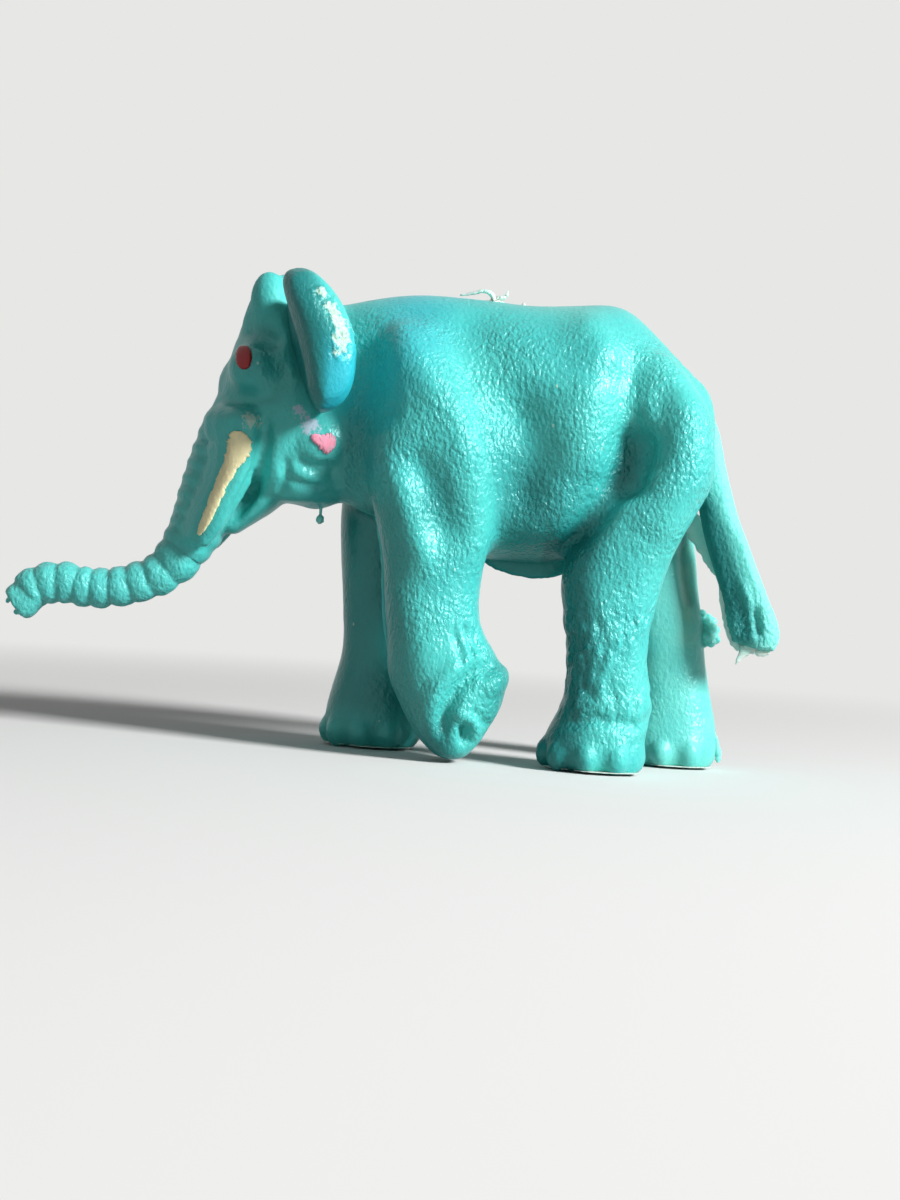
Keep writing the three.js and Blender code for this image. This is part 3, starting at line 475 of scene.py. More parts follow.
# %% Jaw and mounds
JAW_ROWS = [(-8.6, 23.2, 2.9, 1.5), (-10.2, 21.6, 2.8, 1.4), (-11.6, 20.1, 2.5, 1.2),
            (-12.9, 18.9, 2.0, 0.95), (-13.8, 18.0, 1.6, 0.75)]
JAW_FORWARD = Vector((-0.7, 0, -0.71))
jaw_rings = [((x, 0, z), JAW_FORWARD, Y_AXIS, wide, over) for x, z, wide, over in JAW_ROWS]

for hand in BOTH:
    for ahead_by, in_by in ((0.0, 0.0), (0.75, 0.55), (1.4, 1.3)):
        loft(detail, tusk_rings(hand, ahead_by, in_by), sides=24)
    lump(detail, (-12.4, hand * 3.45, 30.7), (2.25, 2.2, 2.3), turn=-20)
    lump(detail, (-7.0, hand * 3.1, 25.2), (2.9, 2.1, 2.7))
    lump(detail, (-11.4, hand * 2.3, 35.8), (1.85, 2.3, 3.2), turn=-12)
lump(detail, (-10.2, 0, 36.7), (2.1, 3.0, 2.6))
lump(detail, (-12.9, 0, 29.4), (2.95, 3.1, 3.4))
loft(detail, jaw_rings + round_end(jaw_rings[-1], 0.7), sides=24)
print("with the face:", len(detail.faces), "faces")

# %% [markdown]
# ## Toes
# Each planted foot has low rounded toes in an arc round its front, which differ a little in size. The lifted
# foot only has the swelling of its heel.

# %% Toes
PLANTED_FEET = ("foreleg_right", "hindleg_left", "hindleg_right")
TOE_HEIGHT = 1.3
TOE_INSET = 0.45


def round_foot(name, height, inset, turn):
    """A place `inset` within the foot's outline at a height; a turn of 0 is its front."""
    front, back, out, wide = falling_table(LEG_ROWS[name])(-height)
    return ((front + back) / 2 - ((back - front) / 2 - inset) * math.cos(turn),
            out + (wide - inset) * math.sin(turn))


for name in PLANTED_FEET:
    for angle in (-112, -75, -38, 0, 38, 75, 112):
        size = 1 + 0.12 * math.sin(2.3 * angle)
        place = round_foot(name, TOE_HEIGHT, TOE_INSET, math.radians(angle))
        lump(detail, (*place, TOE_HEIGHT), (size, size, 1.3 * size))
lump(detail, (7.9, -5.0, 6.2), (1.5, 3.2, 2.3), turn=40)
print("with toes:", len(detail.faces), "faces")

# %% Second skin, fine
skin.data.transform(Matrix.Scale(1 / MM, 4))
detail.from_mesh(skin.data)
bpy.data.objects.remove(skin)
skin = new_piece("skin", detail)
one_skin(skin, SKIN_VOXEL, smoothing=4)

# %% [markdown]
# ## Folds
# Now the small folds, each 0.3 to 1 mm wide: the wrinkles across the trunk, the lines round the eye mound,
# behind the tusk and under the cheek, and those at the bent wrist and above the feet.

# %% Fine strokes
def wrinkle_strokes():
    """A groove across the front of the upper trunk at each of its creases."""
    strokes = []
    for place in TRUNK_CREASES[2:9]:
        x, z = trunk_at(place)
        ahead = trunk_at(place + 0.2)
        forward = Vector((ahead[0] - x, ahead[1] - z)).normalized()
        front = Vector((forward.y, -forward.x)) * trunk_radii(place)[1]
        line = [(x + front.x * reach + 0.1 * forward.x, z + front.y * reach) for reach in (1.15, 0.75, 0.3)]
        strokes.append((BOTH, -0.22, 0.3, line))
    return strokes


FINE_STROKES = [
    (BOTH, -0.65, 0.7, [(-9.9, 37.4), (-9.5, 35.2), (-9.0, 32.6), (-8.5, 30.2)]),
    (BOTH, -0.75, 0.75, [(-13.4, 33.9), (-12.2, 33.6), (-11.0, 33.0)]),
    (BOTH, -0.4, 0.6, [(-15.0, 29.0), (-13.9, 28.2), (-12.2, 28.1), (-10.8, 28.6), (-10.0, 29.8),
                       (-9.9, 31.4)]),
    (BOTH, -0.6, 0.5, [(-11.2, 27.0), (-11.1, 24.8), (-11.4, 22.6), (-12.4, 20.4), (-13.6, 18.2)]),
    (BOTH, -0.35, 0.5, [(-8.6, 23.5), (-6.9, 22.9), (-5.3, 23.2)]),
    (BOTH, 0.15, 0.5, [(-8.3, 22.4), (-7.0, 22.2), (-5.8, 22.4)]),
    (BOTH, -0.3, 0.35, [(-9.2, 22.0), (-7.8, 21.5), (-6.2, 21.5)]),
    (BOTH, -0.45, 0.45, [(-9.4, 23.6), (-9.2, 21.9), (-9.9, 20.6)]),
    ((LEFT,), -0.8, 0.6, [(8.4, 8.2), (6.9, 7.5), (5.6, 6.0), (4.7, 4.2), (4.6, 2.0)]),
    ((LEFT,), 0.35, 0.7, [(7.6, 9.0), (5.5, 7.8), (4.0, 5.9), (3.3, 4.0)]),
    ((LEFT,), -0.95, 0.42, [(6.35, 2.8), (6.5, 2.1)]),
    ((LEFT,), 0.35, 0.45, [(5.7, 4.0), (6.8, 3.9), (7.4, 3.2), (7.3, 2.2), (6.6, 1.3)]),
    ((LEFT,), -0.35, 0.35, [(7.1, 4.2), (8.0, 3.4)]),
    ((LEFT,), -0.4, 0.27, [(5.9, 11.2), (6.5, 9.7), (6.8, 8.0)]),
    ((LEFT,), -0.4, 0.27, [(6.7, 10.8), (7.2, 9.4), (7.7, 8.4)]),
    ((LEFT,), -0.35, 0.27, [(5.1, 10.6), (5.7, 9.0), (5.9, 7.8)]),
    ((LEFT,), -0.4, 0.5, [(21.6, 4.9), (20.1, 4.0), (18.4, 4.3), (16.2, 4.4), (14.4, 3.8)]),
]
carve(skin, wrinkle_strokes() + FINE_STROKES)
print("skin after the folds:", len(skin.data.vertices), "points")

# %% [markdown]
# ## Leather grain
# The flanks, thighs and shins have the wrinkled grain of elephant hide, the back and the inner sides of the
# legs are smooth. Two noises in geometry give the larger grain, stretched upright on the left hind shin, and
# the finer one comes later from the material's bump. The strength is kept in an attribute for the material.

# %% Fields over a surface
def noise_field(points, scale, seed, stretch=(1, 1, 1)):
    """Smooth noise between about -1 and 1 at every point; `scale` is the size of a bump in millimetres."""
    offset = Vector((seed * 17.3, seed * 5.1, seed * 9.7))
    spots = points * (np.array(stretch) / scale)
    return np.array([noise.noise(Vector(spot) + offset) for spot in spots])


def smooth_between(low, high, values):
    share = np.clip((values - low) / (high - low), 0, 1)
    return share * share * (3 - 2 * share)


def between(low, high, values):
    return (values > low) & (values < high)


def spot(points, x, z, wide, tall=None):
    """1 at a place in the side view, falling to 0 round it."""
    return np.exp(-((points[:, 0] - x) / wide) ** 2 - ((points[:, 2] - z) / (tall or wide)) ** 2)


def along(points, line, wide):
    """1 on a line in the side view, falling to 0 beside it."""
    return np.exp(-(near_line(points[:, [0, 2]], line)[0] / wide) ** 2)


def store(piece, name, values):
    """Keeps a number per point, or one for all, on the mesh, where a material's Attribute node reads it."""
    attribute = piece.data.attributes.new(name, "FLOAT", "POINT")
    attribute.data.foreach_set("value", np.full(len(piece.data.vertices), values, np.float32))


# %% Leather grain
HEAD_LEATHER = 0.22


def leather_strength(points, normals):
    x, _, z = points.T
    outside = np.maximum(*(faces_side(points, normals, hand) for hand in BOTH))
    strength = 0.3 + 0.7 * outside
    strength *= 1 - 0.75 * smooth_between(33.5, 37.0, z)
    strength *= 1 - 0.6 * smooth_between(3.0, 1.0, z)
    strength *= 0.8 + 0.7 * noise_field(points, 3.2, 7)
    return np.where(x < -4.5, HEAD_LEATHER, np.clip(strength, 0.1, 1))


points, normals = surface_of(skin)
x, y, z = points.T
leather = leather_strength(points, normals)
shin = between(13, 22, x) * (y < 0) * smooth_between(16.0, 11.0, z) * smooth_between(3.5, 5.0, z)
round_grain = noise_field(points, 0.65, 1, (1, 1, 0.7)) + 0.7 * noise_field(points, 0.42, 2, (1, 1, 0.6))
upright_grain = noise_field(points, 0.6, 3, (1, 1, 0.42)) + 0.5 * noise_field(points, 0.4, 4, (1, 1, 0.5))
grain = round_grain * (1 - shin) * 0.045 + upright_grain * shin * 0.3
push_out(skin, (grain + noise_field(points, 2.4, 5) * 0.07) * leather)
store(skin, "leather", leather)
print("grain: mean strength", round(float(leather.mean()), 2))

# %% [markdown]
# ## The free part of the trunk
# The trunk has two joints, and a piece can bend across only one. So the skin ends in the first deep crease,
# and the free part is a finer skin of its own, cut in two in the crease between the joints. Both halves come
# from one mesh, so they meet exactly. A cap closes each cut, and its edge is marked sharp so that it doesn't
# spoil the shading. The tip is a short cup, turned down, whose last rings go back into it as a dent.

# %% Cutting across the trunk
BEHIND_TRUNK = -13.0  # the cuts leave everything behind this x alone


def trunk_place(place):
    """The trunk's middle and direction at a place, in millimetres."""
    x, z = trunk_at(place)
    return Vector((x, 0, z)), heading(trunk_at, place, TRUNK_REACH).normalized()


def keep_side(piece, place, side):
    """Cuts across the trunk and closes the cut. Side 1 drops what lies ahead, -1 what lies behind."""
    centre, direction = trunk_place(place)
    bm = bmesh.new()
    bm.from_mesh(piece.data)
    geometry = [vert for vert in bm.verts if vert.co.x < BEHIND_TRUNK * MM]
    near = set(geometry)
    for items in (bm.edges, bm.faces):
        geometry += [item for item in items if near.issuperset(item.verts)]
    bmesh.ops.bisect_plane(bm, geom=geometry, plane_co=centre * MM, plane_no=direction * side,
                           clear_outer=True)
    rim = [edge for edge in bm.edges if edge.is_boundary]
    for edge in rim:
        edge.smooth = False
    bmesh.ops.holes_fill(bm, edges=rim)
    bm.to_mesh(piece.data)
    bm.free()
    piece.data.update()


# %% Free trunk
TIP_FORWARD = Vector((-0.8, 0, -0.6))
TIP_START = Vector((-30.05, 0, 11.4))
TIP_ROWS = [  # push along the tip, radius
    (-0.6, 1.1), (-0.2, 1.36), (0.2, 1.46), (0.7, 1.54), (1.2, 1.6), (1.6, 1.58), (1.85, 1.4), (1.85, 1.15),
    (1.4, 0.8), (1.0, 0.4),
]
TIP_CRUMBS = [((-31.2, -0.6, 9.7), 0.3), ((-30.7, -0.9, 9.55), 0.26), ((-32.0, -0.8, 10.6), 0.24)]


def make_free_trunk():
    bm = bmesh.new()
    loft(bm, trunk_rings(FIRST_DEEP_CREASE - 0.8, line_places[-1] - 0.3, per_mm=12), sides=48)
    loft(bm, [(TIP_START + TIP_FORWARD * push, TIP_FORWARD, Y_AXIS, radius, radius * 0.97)
              for push, radius in TIP_ROWS], sides=32, square=2.6)
    for place, size in TIP_CRUMBS:
        lump(bm, place, (size, size, size))
    trunk = new_piece("trunk_upper", bm)
    one_skin(trunk, TRUNK_VOXEL, smoothing=2)
    points, _ = surface_of(trunk)
    push_out(trunk, noise_field(points, 1.5, 21) * 0.11 + noise_field(points, 0.5, 22) * 0.05)
    return trunk


trunk_upper = make_free_trunk()
trunk_tip = trunk_upper.copy()
trunk_tip.data = trunk_upper.data.copy()
trunk_tip.name = trunk_tip.data.name = "trunk_tip"
bpy.context.scene.collection.objects.link(trunk_tip)
keep_side(skin, FIRST_DEEP_CREASE, 1)
keep_side(trunk_upper, FIRST_DEEP_CREASE, -1)
keep_side(trunk_upper, SECOND_SPLIT, 1)
keep_side(trunk_tip, SECOND_SPLIT, -1)
print("faces:", {piece.name: len(piece.data.polygons) for piece in (skin, trunk_upper, trunk_tip)})

# %% [markdown]
# ## Ears
# An ear is a thick flap with a rolled rim that stands out from the head and leans forward. In the photograph
# it is seen on edge, as a smooth sausage. It is lofted outward from its root and hollowed on its front face.
# The root sits inside the head, so the ear can bend there without opening a gap.

# %% Ears
EAR_ROOT = (-8.3, 4.1, 32.0)
EAR_LEAN = math.radians(18)
EAR_SWEEP = math.radians(20)
EAR_ROWS = [  # share of the reach, half height, half thickness
    (-0.12, 4.2, 0.8), (0.0, 4.6, 0.95), (0.2, 5.1, 1.2), (0.45, 5.4, 1.6), (0.7, 5.55, 2.0),
    (0.9, 5.6, 2.2), (1.0, 5.2, 2.0),
]
EAR_REACH = 7.1
EAR_HALF_HEIGHT = 5.55
EAR_CURL = 1.2  # how far the top and the bottom of the rim curl forward
EAR_UPRIGHT = Vector((-math.sin(EAR_LEAN), 0, math.cos(EAR_LEAN)))


def ear_outward(hand):
    out = Vector((math.sin(EAR_SWEEP), hand * math.cos(EAR_SWEEP), 0))
    return (out - EAR_UPRIGHT * out.dot(EAR_UPRIGHT)).normalized()


def ear_place(hand, share):
    return Vector((EAR_ROOT[0], hand * EAR_ROOT[1], EAR_ROOT[2])) + ear_outward(hand) * share * EAR_REACH


def make_ear(hand):
    rings = [(ear_place(hand, share), ear_outward(hand), EAR_UPRIGHT, tall, thick) for share, tall, thick
             in sampled(smooth_table(EAR_ROWS), EAR_ROWS[0][0], EAR_ROWS[-1][0], 22)]
    bm = bmesh.new()
    loft(bm, rings + round_end(rings[-1], 1.25, steps=6), sides=44, square=2.6)
    for vert in bm.verts:
        from_root = vert.co - ear_place(hand, 0)
        share = min(max(from_root.dot(ear_outward(hand)) / EAR_REACH, 0), 1)
        vert.co.x -= EAR_CURL * share * (from_root.dot(EAR_UPRIGHT) / EAR_HALF_HEIGHT) ** 2
    ear = new_piece("flap_" + SIDE_NAMES[hand], bm)
    one_skin(ear, EAR_VOXEL, smoothing=6)
    return ear


# %% Hollow, wear and painted shade of the ears
SCUFF_LINE = [(-6.7, 35.9), (-5.9, 34.8), (-5.2, 33.6), (-5.0, 32.6), (-4.9, 31.6)]  # on the left rim
SCUFF_NECK = 34.2  # the scuff is narrower above this height


def shape_ear(ear, hand):
    """Hollows the front face inside the rim, waves the rim a little and stores the marks of wear, with painted
    shade on the faces turned forward, away from the light.
    """
    points, normals = surface_of(ear)
    from_root = points - np.array(ear_place(hand, 0))
    share = from_root @ np.array(ear_outward(hand)) / EAR_REACH
    height = from_root @ np.array(EAR_UPRIGHT)
    middle = np.exp(-((share - 0.45) / 0.28) ** 2 - (height / 4.2) ** 2)
    hollow = middle * np.clip(-normals[:, 0] * 1.3, 0, 1)
    wave = noise_field(points, 2.6, 11 + hand) * 0.12
    scuff, _ = near_line(points[:, [0, 2]], SCUFF_LINE)
    scuff = (scuff + 0.5 * noise_field(points, 0.8, 31)) / (0.55 + 0.3 * (points[:, 2] < SCUFF_NECK))
    scuff = np.exp(-scuff**4) * smooth_between(0.6, 0.9, share) * (hand == LEFT)
    powder = scuff * np.clip(noise_field(points, 0.4, 32), -0.3, 1) * 0.4
    push_out(ear, wave + powder - 0.55 * hollow)
    store(ear, "leather", 0.25 + 0.6 * scuff)
    store(ear, "tint", 0.8 * smooth_between(1.5, -3.0, height) * smooth_between(-0.3, 0.5, normals[:, 0]))
    store(ear, "wear_and_highlight", 0.68 * scuff)
    # painted shade on the faces turned forward, away from the light
    store(ear, "hollow", smooth_between(0.65, 0.05, normals[:, 0]))
    store(ear, "matte", 0.25)


ears = {hand: make_ear(hand) for hand in BOTH}
for hand, ear in ears.items():
    shape_ear(ear, hand)
print("ears:", [len(ear.data.polygons) for ear in ears.values()], "faces")

# %% [markdown]
# ## Tail
# The tail hangs from the rump and widens into a strap with a blunt tuft, cut off flat by the mould. A broad
# groove runs down each side of it. Its root sits inside the rump.

# %% Tail
TAIL_ROWS = [  # x, z, radius across, radius in the side view
    (24.4, 29.8, 0.9, 0.9), (25.0, 28.0, 1.1, 1.15), (25.5, 25.2, 1.15, 1.35), (26.3, 22.1, 1.2, 1.5),
    (27.0, 19.9, 1.25, 1.6), (27.85, 17.7, 1.3, 1.65), (28.8, 15.4, 1.4, 1.75), (29.55, 13.4, 1.5, 1.95),
    (30.1, 11.9, 1.5, 2.05), (30.25, 11.1, 1.4, 1.85), (30.2, 10.6, 1.1, 1.35),
]


def make_tail():
    at = numbered_table(TAIL_ROWS)
    bm = bmesh.new()
    loft(bm, [((x, 0, z), heading(at, step, 0.1), Y_AXIS, wide, over)
              for step, x, z, wide, over in sampled(at, 0, len(TAIL_ROWS) - 1, 50)], sides=28)
    tail = new_piece("tail_with_tuft", bm)
    one_skin(tail, TAIL_VOXEL, smoothing=2)
    return tail


tail = make_tail()
carve(tail, [
    (BOTH, -0.32, 0.85, [(25.9, 21.0), (26.76, 18.24), (27.88, 15.21), (28.97, 12.8), (29.4, 11.7)]),
    (BOTH, -0.45, 0.3, [(29.7, 13.9), (30.0, 12.8), (30.25, 11.7)]),
    (BOTH, 0.22, 0.35, [(28.6, 16.0), (29.4, 14.0), (29.7, 12.4), (29.8, 11.4)]),
    (BOTH, 0.25, 0.5, [(28.0, 20.4), (29.3, 17.2), (30.6, 14.0), (31.0, 12.0)]),
    (BOTH, 0.15, 0.3, [(26.4, 16.4), (27.4, 13.6), (28.4, 11.2)]),
])
points, _ = surface_of(tail)
tuft = smooth_between(17.0, 13.0, points[:, 2])
push_out(tail, noise_field(points, 0.4, 23) * (0.015 + 0.09 * tuft))
store(tail, "leather", 0.4 + 0.6 * tuft)
print("tail:", len(tail.data.polygons), "faces")

# %% [markdown]
# ## Flash
# Rubber creeps into the parting line of the mould and leaves thin skins, and the gate leaves torn shreds on
# the back. They are too thin for the remesh, so each is a ribbon of its own: a flat loft with an uneven edge.
# A bead of rubber hangs under the jaw and some crumbs stick to the far hind leg.

# %% Ribbons
def ribbon(bm, rows, side, seed, raggedness):
    """A thin ribbon. A row is (x, y, z, half width, half thickness) and `side` is the way it is wide."""
    at = numbered_table(rows)
    rings = []
    for step, x, y, z, wide, thick in sampled(at, 0, len(rows) - 1, 10 * len(rows)):
        forward = Vector(at(step + 0.05)[:3]) - Vector(at(step - 0.05)[:3])
        rag = 1 + raggedness * noise.noise(Vector((step * 3.1, seed * 7.7, 0)))
        rings.append(((x, y, z), forward, side, max(wide * rag, 0.02), thick))
    loft(bm, rings, sides=10, square=2.0)


FLASH_ROWS = {  # ribbons of (rows, side)
    "gate_shreds": [
        ([(3.8, 0, 38.4, 0.12, 0.08), (4.8, 0, 38.62, 0.28, 0.13), (5.6, 0, 38.85, 0.34, 0.16),
          (6.15, 0, 38.8, 0.4, 0.19), (6.5, 0, 38.5, 0.42, 0.22), (6.7, 0, 37.9, 0.5, 0.26)], (0, 1, 0.3)),
        ([(6.5, 0.1, 38.1, 0.3, 0.22), (7.0, 0.1, 38.35, 0.36, 0.2), (7.45, 0.1, 38.45, 0.34, 0.19),
          (7.72, 0.1, 38.75, 0.24, 0.14), (7.74, 0.1, 39.05, 0.08, 0.05)], (0, 1, 0)),
        ([(5.8, 0, 37.95, 0.2, 0.1), (6.8, 0, 37.95, 0.5, 0.3), (7.9, 0, 37.75, 0.2, 0.12)], (0, 1, 0)),
        ([(9.15, -0.1, 37.6, 0.18, 0.16), (9.15, -0.1, 37.9, 0.2, 0.19), (9.15, -0.1, 38.1, 0.08, 0.08)],
         (1, 0, 0)),
    ],
    "belly_fin": [
        ([(6.4, 0, 17.3, 0.4, 0.08), (8.2, 0, 16.6, 0.75, 0.12), (10.2, 0, 16.2, 0.9, 0.12),
          (12.2, 0, 16.2, 0.95, 0.12), (13.6, 0, 16.6, 0.9, 0.1), (14.9, 0, 17.5, 0.5, 0.07)], (0, 0, 1)),
    ],
    "jaw_drip": [
        ([(-6.6, -0.6, 20.3, 0.2, 0.2), (-6.6, -0.6, 19.6, 0.12, 0.12), (-6.6, -0.6, 19.35, 0.16, 0.16),
          (-6.6, -0.6, 19.1, 0.34, 0.34), (-6.6, -0.6, 18.8, 0.3, 0.3), (-6.6, -0.6, 18.6, 0.12, 0.12)],
         (1, 0, 0)),
    ],
    "thigh_strip": [
        ([(24.2, 2.0, 21.4, 0.9, 0.16), (24.9, 1.95, 20.2, 0.85, 0.13), (25.5, 1.8, 18.9, 0.52, 0.12),
          (26.2, 1.7, 17.6, 0.4, 0.12), (26.7, 1.6, 16.9, 0.34, 0.1), (27.0, 1.6, 16.45, 0.12, 0.07)],
         (1, 0, 0.5)),
    ],
    "foreleg_seam": [
        ([(-1.9, -5.2, 20.6, 0.15, 0.06), (-1.5, -5.1, 19.0, 0.3, 0.08), (-1.0, -5.0, 16.4, 0.26, 0.08),
          (-0.7, -5.0, 13.4, 0.26, 0.08), (-0.4, -5.0, 10.6, 0.24, 0.08), (0.1, -5.0, 8.0, 0.15, 0.05)],
         (1, 0, 0)),
    ],
    "heel_sliver": [
        ([(27.8, 4.0, 3.2, 0.15, 0.08), (28.1, 4.1, 2.4, 0.26, 0.14), (28.35, 4.2, 1.3, 0.3, 0.16),
          (28.4, 4.2, 0.6, 0.2, 0.1)], (1, 0, 0.2)),
    ],
    "tail_spike": [
        ([(29.9, -0.5, 10.9, 0.7, 0.25), (29.3, -0.5, 10.3, 0.5, 0.16), (28.95, -0.5, 9.8, 0.26, 0.1),
          (28.62, -0.5, 9.2, 0.06, 0.05)], (1, 0, 0)),
        ([(26.9, -0.1, 16.0, 0.1, 0.06), (27.3, -0.1, 14.3, 0.3, 0.09), (27.9, -0.1, 12.5, 0.42, 0.1),
          (28.5, -0.1, 11.0, 0.4, 0.1), (28.9, -0.1, 10.4, 0.2, 0.08)], (1, 0, 0.4)),
        ([(30.0, -0.3, 10.5, 0.25, 0.12), (30.7, -0.3, 10.3, 0.3, 0.12), (31.4, -0.3, 10.35, 0.2, 0.1)],
         (0, 0, 1)),
    ],
}
print("ribbons:", {name: len(strips) for name, strips in FLASH_ROWS.items()})

# %% Flash and crumbs
CRUMBS = [  # x, z, size: a torn clump on the rear edge of the far hind leg
    (26.3, 12.7, 0.5), (26.8, 12.9, 0.42), (27.2, 12.6, 0.45), (27.0, 12.05, 0.6), (27.5, 11.9, 0.42),
    (27.2, 11.4, 0.6), (27.6, 11.05, 0.38), (27.1, 10.75, 0.42), (26.7, 11.3, 0.65), (26.4, 12.1, 0.65),
    (26.3, 11.5, 0.55), (26.7, 12.4, 0.55), (26.2, 13.3, 0.36), (26.6, 10.7, 0.45),
]
RAGGEDNESS = 0.35

flash = {}
for seed, (name, strips) in enumerate(FLASH_ROWS.items()):
    bm = bmesh.new()
    for offset, (rows, side) in enumerate(strips):
        ribbon(bm, rows, side, seed * 5 + offset, 0.1 if name == "belly_fin" else RAGGEDNESS)
    flash[name] = new_piece(name, bm)
bm = bmesh.new()
for x, z, size in CRUMBS:
    lump(bm, (x, 4.3 + 0.3 * math.sin(7 * x + 5 * z), z), (size, size, size * 0.9))
flash["leg_crumbs"] = new_piece("leg_crumbs", bm)
one_skin(flash["leg_crumbs"], CRUMB_VOXEL, smoothing=2)
for piece in flash.values():
    push_out(piece, noise_field(surface_of(piece)[0], 0.3, 41) * 0.05)
print("flash:", {name: len(piece.data.polygons) for name, piece in flash.items()})

# %% [markdown]
# Each planted foot also has a thin skin of flash round its sole, where the mould closed. It is in three
# strips with pointed ends.

# %% Sole skins
SOLE_REACH = 0.16  # how far the flash stands out of the foot
SOLE_ARCS = ((-150, -60), (-50, 40), (55, 140))

for name in PLANTED_FEET:
    bm = bmesh.new()
    for seed, (start, end) in enumerate(SOLE_ARCS):
        rows = [(*round_foot(name, 0.4, 0.05, turn), 0.24, SOLE_REACH + 0.3, 0.05)
                for turn in np.radians(np.linspace(start, end, 7))]
        rows[0], rows[-1] = (*rows[0][:3], 0.1, 0.03), (*rows[-1][:3], 0.1, 0.03)
        side = (math.cos(math.radians((start + end) / 2)), math.sin(math.radians(end)), 0)
        ribbon(bm, rows, side, seed, 0.5)
    flash["sole_skin_" + name] = new_piece("sole_skin_" + name, bm)
print("sole skins:", [name for name in flash if name.startswith("sole")])

# %% [markdown]
# ## Paint
# The eye, the tusk and the cheek are touched up by brush. A coat of paint is a very thin sheet that follows
# the skin. Each one is a grid bent along the line of its brush stroke, dropped onto the skin from the side
# with a ray, and given a thickness. Painting by a mask in the material would be flat and have no edge.

# %% Brush strokes
PAINT_RAISE = 0.07
PAINT_THICKNESS = 0.12
BESIDE = 12  # rays start this far out from the middle


def skin_tree(piece):
    bm = bmesh.new()
    bm.from_mesh(piece.data)
    bmesh.ops.scale(bm, vec=(1 / MM,) * 3, verts=bm.verts)
    tree = BVHTree.FromBMesh(bm)
    bm.free()
    return tree


SKIN_TREE = skin_tree(skin)


def brush_stroke(name, hand, rows, cells, raggedness, raise_by=PAINT_RAISE):
    """A sheet of paint. A row is (x, z, half width, slant of the row in degrees)."""
    at = numbered_table(rows)
    bm = bmesh.new()
    bmesh.ops.create_grid(bm, x_segments=cells[0], y_segments=cells[1], size=1)
    for vert in bm.verts:
        u, v = vert.co.x, vert.co.y
        x, z, half, slant = at((u + 1) / 2 * (len(rows) - 1))
        turn = math.radians(slant)
        rag = noise.noise(Vector((u * 9, v * 2, hand * 3.0))) + noise.noise(Vector((u * 34, v * 3, hand)))
        reach = half * v * (1 + raggedness * rag * v**2)
        start = Vector((x + reach * math.cos(turn), hand * BESIDE, z + reach * math.sin(turn)))
        hit, normal, _, _ = SKIN_TREE.ray_cast(start, Vector((0, -hand, 0)))
        edge = max(0.0, 1 - max(abs(u), abs(v)) ** 6)
        vert.co = hit + normal * (raise_by * edge - 0.01)
    if hand == LEFT:
        bmesh.ops.reverse_faces(bm, faces=bm.faces)
    piece = new_piece(name, bm)
    wall = piece.modifiers.new("thickness", "SOLIDIFY")
    wall.thickness = PAINT_THICKNESS * MM
    wall.offset = -1
    bake_modifiers(piece)
    return piece


EYE_ROWS = [(-13.35, 32.3, 0.05, 0), (-13.3, 32.15, 0.38, 0), (-13.25, 31.85, 0.54, 0), (-13.2, 31.4, 0.6, 0),
            (-13.15, 30.95, 0.52, 0), (-13.1, 30.65, 0.34, 0), (-13.1, 30.5, 0.05, 0)]
TUSK_PAINT_ROWS = [(-13.2, 25.35, 0.15, 0), (-13.1, 25.1, 0.62, -5), (-13.0, 24.6, 0.84, -8),
                   (-13.1, 23.8, 0.86, -12), (-13.55, 22.9, 0.62, -25), (-14.15, 21.6, 0.5, -28),
                   (-14.7, 20.2, 0.45, -28), (-15.2, 18.9, 0.38, -28), (-15.7, 17.8, 0.28, -30),
                   (-16.1, 17.0, 0.06, -30)]
CHEEK_ROWS = [(-7.35, 25.4, 0.05, 80), (-7.1, 25.3, 0.24, 80), (-6.7, 25.15, 0.36, 80),
              (-6.3, 25.0, 0.58, 80), (-5.95, 24.95, 0.64, 80), (-5.65, 24.95, 0.45, 80),
              (-5.5, 24.95, 0.08, 80)]

paint = {}
for hand in BOTH:
    side = SIDE_NAMES[hand]
    paint["eye", hand] = brush_stroke("eye_dot_" + side, hand, EYE_ROWS, (24, 14), 0.1, raise_by=0.14)
    paint["tusk", hand] = brush_stroke("tusk_stroke_" + side, hand, TUSK_PAINT_ROWS, (160, 14), 0.26)
    paint["cheek", hand] = brush_stroke("cheek_dab_" + side, hand, CHEEK_ROWS, (48, 24), 0.5)
print("paint:", sorted(piece.name for piece in paint.values()))

# %% [markdown]
# ## Shader nodes
# A material is a tree of small nodes. The helper below adds one node at a time, and feeds each of its inputs
# with a value or with a link from another node. Constants are set on the shader's own sockets.

# %% Shader helper
class Tree:
    """Adds nodes to a node tree."""

    def __init__(self, tree):
        self.nodes, self.links = tree.nodes, tree.links

    def feed(self, node, inputs):
        """Sets each named or numbered input, or links it where the value is a socket."""
        for socket, value in inputs.items():
            if isinstance(value, bpy.types.NodeSocket):
                self.links.new(value, node.inputs[socket])
            else:
                node.inputs[socket].default_value = value

    def add(self, kind, inputs=None, **fields):
        node = self.nodes.new("ShaderNode" + kind)
        for field, value in fields.items():
            setattr(node, field, value)
        self.feed(node, inputs or {})
        return node

    def maths(self, operation, first, second):
        return self.add("Math", {0: first, 1: second}, operation=operation).outputs[0]

    def mix(self, share, first, second):
        return self.add("Mix", {"Factor": share, 6: first, 7: second}, data_type="RGBA").outputs[2]

    def step(self, value, low, high):
        """0 below `low`, 1 above `high`, and soft between them."""
        span = {"Value": value, "From Min": low, "From Max": high}
        return self.add("MapRange", span, interpolation_type="SMOOTHSTEP").outputs["Result"]

    def attribute(self, name):
        return self.add("Attribute", attribute_name=name).outputs["Fac"]

    def relief(self, height, strength, distance):
        """The normal that fine relief gives; `distance` is in millimetres."""
        return self.add("Bump", {"Height": height, "Strength": strength,
                                 "Distance": distance * MM}).outputs["Normal"]


